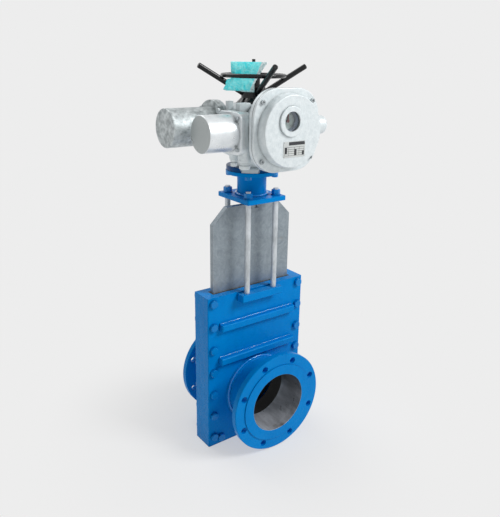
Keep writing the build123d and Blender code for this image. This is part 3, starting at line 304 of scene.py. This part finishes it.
def makeBluePaint(name, look):
    f = Finish(name)
    patch = f.ramp(f.noise(9, 3), 0.38, 0.66)
    brush = f.ramp(f.noise(60, 4, stretch=(1, 1, 0.25)), 0.35, 0.7)
    base = f.mix(f.math("MULTIPLY", patch, 0.55), look["main"], look["deep"])
    base = f.mix(f.math("MULTIPLY", brush, 0.3), base, look["pale"])
    # painted shade: corners and creases, found by ambient occlusion, take the darker "crease" colour
    base = f.mix(f.ramp(f.creases(0.012), 0.75, 0.2), base, look["crease"])
    worn = f.math("MULTIPLY", f.edges(0.0015), f.ramp(f.noise(180, 3), 0.56, 0.66))
    base = f.mix(f.math("MULTIPLY", worn, 0.45), base, look["worn"])
    if look["chips"]:
        # silver overspray below the cable glands
        away = f.add("VectorMath", operation="DISTANCE")
        f.join(f.place, away.inputs[0])
        away.inputs[1].default_value = sprayMiddle
        spray = f.math("ADD", away.outputs["Value"], f.math("MULTIPLY", f.noise(90, 4, 0.62), 0.03))
        base = f.mix(f.ramp(spray, 0.046, 0.043), base, (190, 198, 202))
    # the bore is left unpainted
    across = f.add("VectorMath", operation="LENGTH")
    f.join(f.stretched((1, 0, 1)), across.inputs[0])
    bare = f.ramp(across.outputs["Value"], bareRadius + 0.0004, bareRadius)
    drawn = f.ramp(f.noise(30, 5, 0.6, stretch=(1, 0.25, 1)), 0.35, 0.66)
    rolled = f.mix(drawn, (206, 210, 218), (158, 162, 169))
    rolled = f.mix(f.ramp(f.noise(14, 3), 0.62, 0.76), rolled, (118, 112, 106))
    # painted shade: the bare steel darkens towards the upper half of the bore, where the inside is in shade
    parts = f.add("SeparateXYZ")
    f.join(f.place, parts.inputs[0])
    rise = f.math("ADD", parts.outputs["Z"], f.math("MULTIPLY", f.noise(22, 4), 0.03))
    rolled = f.mix(f.ramp(rise, -0.06, 0.075, 0.0, 0.85), rolled, (58, 60, 66))
    f.colour(f.mix(bare, base, rolled))
    f.metallic(f.math("MULTIPLY", bare, 0.45))
    f.roughness(f.math("ADD", f.ramp(f.noise(40, 3), 0.3, 0.7, 0.2, 0.42), f.math("MULTIPLY", bare, 0.06)))
    f.fixed(Specular_IOR_Level=look["gloss"], Specular_Tint=(0.1, 0.62, 1.0, 1.0))
    f.fixed(Coat_Weight=look["coat"], Coat_Roughness=0.06)
    f.bump((f.noise(35, 2), 0.0012), (f.noise(260, 3), 0.00025), rounding=0.0018)
    return f.material


# "crease" is the colour of the painted shade in corners and creases
bluePaint = {"main": (0, 130, 209), "deep": (0, 118, 195), "pale": (0, 140, 218), "crease": (0, 62, 118),
             "worn": (70, 122, 158), "gloss": 0.12, "coat": 0.0, "chips": False}
weldPaint = dict(bluePaint, main=(0, 132, 214), gloss=0.5, coat=1.0)
boltPaint = dict(bluePaint, deep=(0, 104, 176), gloss=0.25, coat=0.3)
# a shaded copy of the blue paint for the actuator's base flange: painted shade, as the flange sits in shade
# under the actuator; its silver overspray is real
shadedBluePaint = {"main": (0, 56, 112), "deep": (0, 42, 90), "pale": (0, 70, 130), "crease": (0, 36, 78),
             "worn": (130, 140, 150), "gloss": 0.25, "coat": 0.05, "chips": True}


def makeSilverPaint(name, light, dark, coarse, depth, metal, rough, shadedEndX=None):
    f = Finish(name)
    patch = f.ramp(f.noise(coarse * 0.8, 5, 0.62), 0.35, 0.66)
    base = f.mix(patch, light, dark)
    if shadedEndX:
        # painted shade: the end face at the low X end is painted darker than the turned side, as shade falls
        # on it
        parts = f.add("SeparateXYZ")
        f.join(f.place, parts.inputs[0])
        base = f.mix(f.ramp(parts.outputs["X"], shadedEndX + 0.0016, shadedEndX + 0.0004), base, (172, 178, 178))
    # painted shade: corners and crevices, found by ambient occlusion, are darkened
    cornerShade = f.ramp(f.creases(0.014), 0.8, 0.25)
    base = f.mix(f.math("MULTIPLY", cornerShade, 0.8), base, (104, 112, 112))
    speck = f.ramp(f.noise(420, 2), 0.62, 0.72)
    f.colour(f.mix(f.math("MULTIPLY", speck, 0.35), base, (140, 146, 146)))
    f.fixed(Metallic=metal)
    f.roughness(f.ramp(f.noise(50, 3), 0.3, 0.7, rough - 0.07, rough + 0.08))
    f.bump((f.noise(coarse, 4, 0.6), depth), (f.noise(coarse * 6, 2), depth * 0.3), rounding=0.002)
    return f.material


def makeBrushedSteel(name, light, dark, stretch, scale, rough, depth=0.00008, metal=0.9):
    f = Finish(name)
    grain = f.noise(scale, 3, stretch=stretch)
    patch = f.noise(22, 3)
    f.colour(f.mix(f.ramp(f.math("ADD", grain, patch), 0.75, 1.25), light, dark))
    f.fixed(Metallic=metal)
    f.roughness(f.ramp(grain, 0.3, 0.7, rough - 0.06, rough + 0.08))
    f.bump((grain, depth), rounding=0.0005)
    return f.material


def makeGateSteel():
    f = Finish("gateSteel")
    cloud = f.noise(26, 5, 0.62, 2.2)
    swirl = f.noise(75, 3, 0.5, 3.5)
    tone = f.math("ADD", f.math("MULTIPLY", cloud, 0.65), f.math("MULTIPLY", swirl, 0.35))
    base = f.mix(f.ramp(tone, 0.36, 0.62), (130, 140, 147), (154, 164, 171))
    stain = f.ramp(f.noise(11, 4, 0.6, 1.0), 0.62, 0.75)
    base = f.mix(f.math("MULTIPLY", stain, 0.35), base, (146, 134, 122))
    # painted highlight: every edge of the gate is lightened towards near-white
    edge = f.edges(0.001)
    f.colour(f.mix(f.math("MULTIPLY", edge, 0.6), base, (214, 222, 228)))
    f.fixed(Metallic=0.55)
    f.roughness(f.ramp(swirl, 0.3, 0.7, 0.36, 0.58))
    f.bump((swirl, 0.0006), (f.noise(320, 2), 0.00012), rounding=0.0008)
    return f.material


def makeStemThread():
    # Trapezoidal thread, 5 mm a turn, cut in the stem
    f = Finish("stemThread")
    parts = f.add("SeparateXYZ")
    f.join(f.place, parts.inputs[0])
    turn = f.math("ARCTAN2", parts.outputs["Y"], parts.outputs["X"])
    climb = f.math("MULTIPLY", parts.outputs["Z"], 2 * math.pi / 0.005)
    ridge = f.ramp(f.math("SINE", f.math("SUBTRACT", climb, turn), 0.0), -0.5, 0.5)
    grease = f.ramp(f.noise(60, 4), 0.45, 0.65)
    # painted shade and highlight: the thread's roots are painted darker and its crests lighter
    base = f.mix(ridge, (96, 98, 98), (188, 190, 190))
    base = f.mix(f.math("MULTIPLY", grease, 0.4), base, (92, 84, 70))
    # the tee that sits in the gate's slot has no thread
    tee = f.ramp(parts.outputs["Z"], gateTop + 0.0006, gateTop)
    ridge = f.math("MULTIPLY", ridge, f.math("SUBTRACT", 1.0, tee))
    f.colour(f.mix(tee, base, (140, 149, 156)))
    f.fixed(Metallic=0.8)
    f.roughness(f.ramp(grease, 0.0, 1.0, 0.3, 0.45))
    f.bump((ridge, 0.0009), rounding=0.0005)
    return f.material


def makeBlackPaint():
    f = Finish("blackPaint")
    patch = f.ramp(f.noise(30, 3), 0.4, 0.7)
    base = f.mix(patch, (5, 7, 10), (13, 16, 20))
    scuff = f.math("MULTIPLY", f.edges(0.001), f.ramp(f.noise(240, 3), 0.55, 0.65))
    f.colour(f.mix(f.math("MULTIPLY", scuff, 0.6), base, (120, 124, 128)))
    f.roughness(f.ramp(f.noise(90, 3), 0.3, 0.7, 0.16, 0.3))
    f.fixed(Specular_IOR_Level=0.2, Coat_Weight=0.3, Coat_Roughness=0.05)
    f.bump((f.noise(120, 3), 0.0004), rounding=0.0008)
    return f.material


def makeMoulded(name, light, dark, rough, scale=300, depth=0.00012):
    f = Finish(name)
    f.colour(f.mix(f.ramp(f.noise(scale * 0.1, 3), 0.35, 0.65), light, dark))
    f.roughness(f.ramp(f.noise(scale, 2), 0.3, 0.7, rough - 0.06, rough + 0.08))
    f.bump((f.noise(scale, 3), depth), rounding=0.0006)
    return f.material


def makePacking():
    f = Finish("braidedPacking")
    one = f.add("TexWave", Scale=260.0, Distortion=0.6)
    f.join(f.stretched((1, 1, 1)), one.inputs["Vector"])
    other = f.add("TexWave", Scale=260.0, Distortion=0.6, bands_direction="DIAGONAL")
    f.join(f.stretched((1, -1, 1)), other.inputs["Vector"])
    braid = f.math("MAXIMUM", one.outputs["Fac"], other.outputs["Fac"])
    f.colour(f.mix(braid, (34, 34, 34), (78, 76, 72)))
    f.fixed(Roughness=0.75)
    f.bump((braid, 0.0006), rounding=0.0004)
    return f.material


def makeGlass():
    f = Finish("clearGlass")
    f.fixed(Roughness=0.03, Transmission_Weight=1.0, IOR=1.45)
    f.colour(f.mix(f.ramp(f.noise(60, 2), 0.3, 0.7), (236, 244, 246), (222, 234, 238)))
    f.bump((f.noise(25, 2), 0.00006), rounding=0.0005)
    return f.material


def makePouchFilm():
    # Turquoise printed film above, clear crumpled film below and at the right
    f = Finish("pouchFilm")
    parts = f.add("SeparateXYZ")
    f.join(f.place, parts.inputs[0])
    across = f.math("MULTIPLY", parts.outputs["X"], 0.806)
    side = f.math("SUBTRACT", across, f.math("MULTIPLY", parts.outputs["Y"], 0.592))
    height = parts.outputs["Z"]
    wave = f.math("MULTIPLY", f.noise(24, 3), 0.03)
    clear = f.ramp(f.math("ADD", height, wave), 1.0035, 0.9985)
    lean = f.math("MULTIPLY", f.math("SUBTRACT", height, 0.985), 0.42)
    right = f.ramp(f.math("SUBTRACT", side, lean), -0.0135, -0.0105)
    streak = f.ramp(f.noise(55, 5, 0.6, 1.4), 0.38, 0.66)
    crease = f.ramp(f.noise(150, 4, 0.6, 0.8), 0.58, 0.72)
    inked = f.mix(streak, (48, 232, 240), (156, 252, 252))
    inked = f.mix(f.math("MULTIPLY", crease, 0.5), inked, (176, 240, 238))
    film = f.mix(f.ramp(f.noise(90, 5, 0.65, 1.5), 0.36, 0.64), (176, 186, 188), (240, 244, 244))
    f.colour(f.mix(f.math("MAXIMUM", clear, right), inked, film))
    f.roughness(f.ramp(f.noise(120, 3), 0.3, 0.7, 0.16, 0.34))
    f.fixed(Coat_Weight=0.6, Coat_Roughness=0.08)
    # painted light: the film glows faintly turquoise, though it is no lamp
    f.fixed(Emission_Color=paint((70, 214, 222)), Emission_Strength=0.12)
    f.bump((f.noise(70, 4, 0.6, 1.2), 0.0012), (f.noise(230, 3), 0.0003), rounding=0)
    return f.material


finishes = {
    "blue_paint": makeBluePaint("bluePaint", bluePaint),
    "silver_paint": makeSilverPaint("castSilver", (228, 235, 237), (212, 221, 224), 90, 0.0008, 0.2, 0.4),
    "rough_silver": makeSilverPaint("roughSilver", (212, 219, 220), (138, 146, 148), 70, 0.0032, 0.5, 0.38),
    "smooth_silver": makeSilverPaint("smoothSilver", (236, 240, 242), (220, 225, 228), 40, 0.0003, 0.6, 0.33,
                                     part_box("terminal_cover")[0].x),
    "black_paint": makeBlackPaint(),
    "gate_steel": makeGateSteel(),
    "bright_steel": makeBrushedSteel("rodSteel", (216, 222, 226), (184, 190, 194), (1, 1, 0.3), 160, 0.42,
                                     0.0002, 0.6),
    "stem_steel": makeBrushedSteel("machinedSteel", (170, 172, 174), (130, 134, 138), (1, 1, 12), 140, 0.3),
    "screw_steel": makeBrushedSteel("screwSteel", (190, 196, 198), (150, 156, 160), (1, 1, 1), 400, 0.35),
    "bronze": makeBrushedSteel("bronze", (186, 148, 86), (150, 112, 58), (1, 1, 8), 160, 0.34),
    "stator_iron": makeBrushedSteel("statorIron", (100, 100, 102), (70, 70, 72), (60, 1, 1), 60, 0.55,
                                    0.0003, 0.7),
    "guide_plastic": makeMoulded("guidePlastic", (228, 228, 218), (212, 212, 204), 0.4),
    "packing": makePacking(),
    "seat_rubber": makeMoulded("seatRubber", (30, 30, 30), (20, 20, 21), 0.7),
    "gasket_rubber": makeMoulded("gasketRubber", (44, 44, 44), (32, 32, 33), 0.75),
    "clear_glass": makeGlass(),
    "dial_cream": makeMoulded("dialCream", (238, 238, 230), (226, 225, 214), 0.45, 500, 0.00005),
    "pointer_red": makeMoulded("pointerRed", (132, 52, 48), (112, 44, 42), 0.4),
    "switch_plastic": makeMoulded("switchPlastic", (104, 100, 124), (84, 82, 104), 0.45),
    "plate_metal": makeBrushedSteel("plateMetal", (214, 218, 216), (196, 200, 200), (0.05, 1, 1), 500, 0.38,
                                    0.00004, 0.5),
    "pouch_film": makePouchFilm(),
    "weld_paint": makeBluePaint("weldPaint", weldPaint),
    "bolt_paint": makeBluePaint("boltPaint", boltPaint),
    "liner_grey": makeMoulded("linerGrey", (176, 178, 192), (158, 160, 176), 0.4),
    "plate_ink": makeMoulded("plateInk", (38, 40, 44), (52, 54, 58), 0.5),
}
slotOf = {part["node"]: part["material_slot"] for part in frame["record"]["subparts"]}
# the actuator's base flange takes the darkened copy of the blue paint, which is painted shade
ownFinish = {"stem": makeStemThread(), "actuator_base_flange": makeBluePaint("shadedBluePaint", shadedBluePaint)}
for nodeName in ("body_bolts", "body_nuts", "tie_rod_nuts", "pedestal_bolts"):
    ownFinish[nodeName] = finishes["bolt_paint"]
for nodeName, cadNode in nodes.items():
    cadNode.data.materials.clear()
    cadNode.data.materials.append(ownFinish.get(nodeName, finishes[slotOf[nodeName]]))
print("materials made:", len(finishes))

# Helpers for the modelled pieces


def finishPiece(name, shape, body, material, smooth=True):
    mesh = bpy.data.meshes.new(name)
    bmesh.ops.recalc_face_normals(shape, faces=shape.faces)
    shape.to_mesh(mesh)
    shape.free()
    mesh.materials.append(material)
    for face in mesh.polygons:
        face.use_smooth = smooth
    piece = bpy.data.objects.new(name, mesh)
    bpy.context.scene.collection.objects.link(piece)
    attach(piece, body)
    return piece


def addBead(shape, path, radius, ripple, closed=False, sides=10):
    # A weld bead: one ring drawn along the path, swelling and shrinking as the welder moved
    count = len(path)
    waves = [math.sin(step * 1.9) + random.uniform(-0.6, 0.6) for step in range(count)]
    sizes = [radius * (1 + ripple * wave) for wave in waves]
    first = (path[1] - path[0]).normalized()
    start = Matrix.Translation(path[0]) @ first.to_track_quat("Z", "Y").to_matrix().to_4x4()
    ring = bmesh.ops.create_circle(shape, segments=sides, radius=sizes[0], matrix=start)["verts"]
    edges = list({edge for vert in ring for edge in vert.link_edges})
    opening = edges
    heading = first
    for step in range(1, count):
        moved = bmesh.ops.extrude_edge_only(shape, edges=edges)["geom"]
        verts = [item for item in moved if isinstance(item, bmesh.types.BMVert)]
        edges = [item for item in moved if isinstance(item, bmesh.types.BMEdge)]
        ahead = path[(step + 1) % count] if closed or step + 1 < count else path[step]
        onward = ahead - path[step - 1]
        onward.normalize()
        bend = heading.rotation_difference(onward).to_matrix()
        grow = sizes[step] / sizes[step - 1]
        for vert in verts:
            vert.co = path[step] + bend @ (vert.co - path[step - 1]) * grow
        heading = onward
    if closed:
        bmesh.ops.bridge_loops(shape, edges=opening + edges)
    else:
        bmesh.ops.holes_fill(shape, edges=opening + edges, sides=sides)


def roundPath(middle, radius, spacing, axis):
    # Points on a circle about the Y or the Z axis
    count = int(2 * math.pi * radius / spacing)
    turns = [2 * math.pi * step / count for step in range(count)]
    second = {"y": 2, "z": 1}[axis]
    path = []
    for turn in turns:
        point = Vector(middle)
        point.x += radius * math.cos(turn)
        point[second] += radius * math.sin(turn)
        path.append(point)
    return path


def straightPath(start, end, spacing):
    start, end = Vector(start), Vector(end)
    count = max(4, int((end - start).length / spacing))
    wander = 0.0004
    path = []
    for step in range(count + 1):
        point = start.lerp(end, step / count)
        point.z += random.uniform(-wander, wander)
        path.append(point)
    return path


# Weld beads on the fabricated body, all in the body's paint
weldSizes = {
    "neck": 0.0058,
    "flange": 0.0038,
    "bar": 0.003,
    "thin": 0.0018,
    "pedestalFoot": 0.0042,
    "pedestalHead": 0.00336,
    "ripple": 0.13,
    # distance from the middle, radius, spacing and size of the rings on the pipe necks
    "neckRings": ((0.0448, 0.1142, 0.0045, "neck"), (0.1418, 0.1122, 0.004, "flange")),
    # height, half length and size of the seams on the plates
    "seams": ((0.272, 0.147, "bar"), (0.249, 0.147, "thin"), (0.154, 0.149, "thin"), (0.131, 0.149, "bar"),
              (0.339, 0.078, "bar")),
    "seamFace": 0.0402,
    "seamSpacing": 0.0032,
    # height, radius and size of the rings at the pedestal's ends
    "pedestalRings": ((0.6745, 0.0492, "pedestalFoot"), (0.7362, 0.0488, "pedestalHead")),
    "pedestalSpacing": 0.004,
}


def makeWelds(look):
    necks, seams, stand = bmesh.new(), bmesh.new(), bmesh.new()
    for side in (-1, 1):
        for reach, radius, spacing, size in look["neckRings"]:
            path = roundPath((0, side * reach, 0), radius, spacing, "y")
            addBead(necks, path, look[size], look["ripple"], closed=True)
    finishPiece("neckWelds", necks, "valve", finishes["weld_paint"])
    for side in (-1, 1):
        face = side * look["seamFace"]
        for height, half, size in look["seams"]:
            path = straightPath((-half, face, height), (half, face, height), look["seamSpacing"])
            addBead(seams, path, look[size], look["ripple"])
    finishPiece("barWelds", seams, "valve", finishes["weld_paint"])
    for height, radius, size in look["pedestalRings"]:
        path = roundPath((0, 0, height), radius, look["pedestalSpacing"], "z")
        addBead(stand, path, look[size], look["ripple"], closed=True)
    finishPiece("pedestalWelds", stand, "valve", finishes["weld_paint"])


makeWelds(weldSizes)
print("welds laid")

# Small turned screws on the window's rim and on the rating plate
screwSizes = {"rimRadius": 0.0372, "rimHead": 0.0026, "plateHead": 0.0016, "count": 4}


def addScrew(shape, place, radius, slotTurn):
    # Domed head, spun about its own axis, with a saw cut across it
    profile = [(0.0, 0.62), (0.45, 0.56), (0.8, 0.36), (1.0, 0.0)]
    head = bmesh.new()
    verts = [head.verts.new((x * radius, 0, z * radius)) for x, z in profile]
    edges = [head.edges.new(pair) for pair in zip(verts, verts[1:])]
    bmesh.ops.spin(head, geom=verts + edges, axis=(0, 0, 1), angle=2 * math.pi, steps=16, use_merge=True)
    bmesh.ops.remove_doubles(head, verts=head.verts, dist=radius * 0.01)
    cut = [vert for vert in head.verts if abs(vert.co.y) < radius * 0.16 and vert.co.z > radius * 0.3]
    for vert in cut:
        vert.co.z -= radius * 0.22
    bmesh.ops.holes_fill(head, edges=[edge for edge in head.edges if edge.is_boundary], sides=32)
    upright = Matrix.Rotation(math.radians(90), 4, "X")
    head.transform(Matrix.Translation(place) @ upright @ Matrix.Rotation(slotTurn, 4, "Z"))
    spare = bpy.data.meshes.new("spare")
    head.to_mesh(spare)
    head.free()
    shape.from_mesh(spare)
    bpy.data.meshes.remove(spare)


def makeScrews(look):
    low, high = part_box("window_bezel")
    middle = (low + high) / 2
    shape = bmesh.new()
    for step in range(look["count"]):
        turn = math.radians(45 + 90 * step)
        reach = look["rimRadius"]
        place = (middle.x + reach * math.cos(turn), low.y + 0.0015, middle.z + reach * math.sin(turn))
        addScrew(shape, place, look["rimHead"], random.uniform(0, 3))
    finishPiece("rimScrews", shape, "valve", finishes["screw_steel"])
    low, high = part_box("rating_plate")
    rivets = bmesh.new()
    for x in (low.x + 0.003, high.x - 0.003):
        for z in (low.z + 0.003, high.z - 0.003):
            addScrew(rivets, (x, low.y + 0.0002, z), look["plateHead"], 0.4)
    finishPiece("plateRivets", rivets, "valve", finishes["screw_steel"])


makeScrews(screwSizes)

# Blank form on the rating plate: a dark band, ruled lines and empty boxes, no words
plateForm = {
    "band": (0.24, 0.98, 0.76, 0.97),
    "rules": (0.12, 0.25, 0.38, 0.51, 0.64),
    "columns": (0.06, 0.24, 0.50, 0.72, 0.95),
    "boxes": ((0.06, 0.16, 0.25, 0.64), (0.50, 0.60, 0.12, 0.51), (0.86, 0.95, 0.12, 0.38)),
    "line": 0.0008,
    "raise": 0.00025,
}


def addSlip(shape, x0, x1, z0, z1, y, thick):
    made = bmesh.ops.create_cube(shape, size=1)["verts"]
    bmesh.ops.scale(shape, vec=(x1 - x0, thick, z1 - z0), verts=made)
    bmesh.ops.translate(shape, vec=((x0 + x1) / 2, y - thick / 2 + 0.0001, (z0 + z1) / 2), verts=made)


def makePlateForm(look):
    low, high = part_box("rating_plate")
    wide, tall = high.x - low.x, high.z - low.z
    shape = bmesh.new()
    for x0, x1, z0, z1 in (look["band"],) + look["boxes"]:
        left, right, bottom, top = low.x + x0 * wide, low.x + x1 * wide, low.z + z0 * tall, low.z + z1 * tall
        addSlip(shape, left, right, bottom, top, low.y, look["raise"])
    half = look["line"] / 2
    left, right = low.x + look["columns"][0] * wide, low.x + look["columns"][-1] * wide
    for share in look["rules"]:
        z = low.z + share * tall
        addSlip(shape, left, right, z - half, z + half, low.y, look["raise"])
    bottom, top = low.z + look["rules"][0] * tall, low.z + look["rules"][-1] * tall
    for share in look["columns"]:
        x = low.x + share * wide
        addSlip(shape, x - half, x + half, bottom, top, low.y, look["raise"])
    finishPiece("plateForm", shape, "valve", finishes["plate_ink"], smooth=False)


makePlateForm(plateForm)

# Graduations on the position dial
dialLook = {
    "reach": 0.0225,
    "long": 0.0042,
    "short": 0.0024,
    "width": 0.0007,
    "marks": 28,
    "marksPerLong": 7,
    "sweep": 270,
    "raise": 0.0002,
}


def makeDialMarks(look):
    low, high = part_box("position_dial")
    middle = (low + high) / 2
    shape = bmesh.new()
    for step in range(look["marks"] + 1):
        angle = math.radians(90 - look["sweep"] / 2 + look["sweep"] * step / look["marks"])
        length = look["long"] if step % look["marksPerLong"] == 0 else look["short"]
        made = bmesh.ops.create_cube(shape, size=1)["verts"]
        bmesh.ops.scale(shape, vec=(length, look["raise"], look["width"]), verts=made)
        place = (look["reach"] - length / 2, low.y - look["raise"] / 2 + 0.0001, 0)
        bmesh.ops.translate(shape, vec=place, verts=made)
        bmesh.ops.rotate(shape, cent=(0, 0, 0), matrix=Matrix.Rotation(-angle, 3, "Y"), verts=made)
        bmesh.ops.translate(shape, vec=(middle.x, 0, middle.z), verts=made)
    finishPiece("dialMarks", shape, "valve", finishes["plate_ink"], smooth=False)


makeDialMarks(dialLook)

# Sloping liner between the glass and the dial
linerLook = {"front": 0.0272, "back": 0.0246, "wall": 0.0006}


def makeDialLiner(look):
    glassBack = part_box("window_glass")[1].y
    low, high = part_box("position_dial")
    middle = (low + high) / 2
    shape = bmesh.new()
    profile = ((look["front"], glassBack + 0.0003), (look["back"], low.y - 0.0001))
    verts = [shape.verts.new((middle.x + radius, y, middle.z)) for radius, y in profile]
    edge = shape.edges.new(verts)
    sweep = {"cent": middle, "axis": (0, 1, 0), "angle": 2 * math.pi, "steps": 64, "use_merge": True}
    bmesh.ops.spin(shape, geom=verts + [edge], **sweep)
    bmesh.ops.recalc_face_normals(shape, faces=shape.faces)
    bmesh.ops.solidify(shape, geom=shape.faces, thickness=look["wall"])
    finishPiece("dialLiner", shape, "valve", finishes["liner_grey"])


makeDialLiner(linerLook)
print("plates and dial marked")

# Document pouch: a soft film bag, crumpled below, that stands in the ring of the handwheel
pouchLook = {
    "turn": -36.3,
    "distance": 0.045,
    "outline": ((-0.067, 1.0705), (0.043, 1.0705), (0.0195, 1.034), (0.0045, 1.007), (0.0045, 0.9815),
                (-0.091, 0.9875), (-0.082, 1.003), (-0.0805, 1.0185), (-0.0655, 1.0235)),
    "thick": 0.006,
    "voxel": 0.003,
    "pressure": 2.2,
    "cap": 0.0032,
    "crumple": 0.0017,
}


def pouchTurn(look):
    return Matrix.Rotation(math.radians(look["turn"]), 4, "Z") @ Matrix.Translation((0, -look["distance"], 0))


def settleFilm(bag, look):
    # Air in the bag pushes the film out, held to the cap
    still = [vert.co.copy() for vert in bag.data.vertices]
    cloth = bag.modifiers.new("film", "CLOTH")
    cloth.settings.use_pressure = True
    cloth.settings.uniform_pressure_force = look["pressure"]
    cloth.settings.effector_weights.gravity = 0
    cloth.settings.quality = 4
    cloth.settings.bending_stiffness = 2
    for step in range(1, 15):
        bpy.context.scene.frame_set(step)
    graph = bpy.context.evaluated_depsgraph_get()
    puffed = bpy.data.meshes.new_from_object(bag.evaluated_get(graph))
    bag.modifiers.clear()
    for vert, start, swollen in zip(bag.data.vertices, still, puffed.vertices):
        move = swollen.co - start
        if move.length > look["cap"]:
            move *= look["cap"] / move.length
        vert.co = start + move
    bpy.data.meshes.remove(puffed)
    bpy.context.scene.frame_set(1)


def makePouch(look):
    shape = bmesh.new()
    verts = [shape.verts.new((side, -look["thick"] / 2, z)) for side, z in look["outline"]]
    face = shape.faces.new(verts)
    pushed = bmesh.ops.extrude_face_region(shape, geom=[face])["geom"]
    far = [item for item in pushed if isinstance(item, bmesh.types.BMVert)]
    bmesh.ops.translate(shape, vec=(0, look["thick"], 0), verts=far)
    bag = finishPiece("pouchBag", shape, "handwheel", finishes["pouch_film"])
    remesh = bag.modifiers.new("grid", "REMESH")
    remesh.mode = "VOXEL"
    remesh.voxel_size = look["voxel"]
    graph = bpy.context.evaluated_depsgraph_get()
    bag.data = bpy.data.meshes.new_from_object(bag.evaluated_get(graph))
    bag.modifiers.clear()
    settleFilm(bag, look)
    heights = [height for side, height in look["outline"]]
    lowest, highest = min(heights), max(heights)
    for vert in bag.data.vertices:
        low = 1 - (vert.co.z - lowest) / (highest - lowest)
        spot = Vector((vert.co.x, 0, vert.co.z))
        fold = noise.noise(Vector((spot.x * 26 + spot.z * 14, 0.3, spot.z * 46 - spot.x * 20)))
        sharp = 1 - 2 * abs(noise.noise(spot * 62 + Vector((3, 1, 2))))
        fine = 1 - 2 * abs(noise.noise(spot * 135 + Vector((7, 5, 1))))
        vert.co.y += look["crumple"] * ((0.5 + 0.9 * low) * (1.1 * fold + 0.55 * sharp) + 0.3 * fine)
    bag.data.transform(pouchTurn(look))
    bag.data.materials.clear()
    bag.data.materials.append(finishes["pouch_film"])
    for polygon in bag.data.polygons:
        polygon.use_smooth = True
    finer = bag.modifiers.new("finer", "SUBSURF")
    finer.levels = finer.render_levels = 1
    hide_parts("document_pouch")
    return bag


makePouch(pouchLook)
print("pouch made")
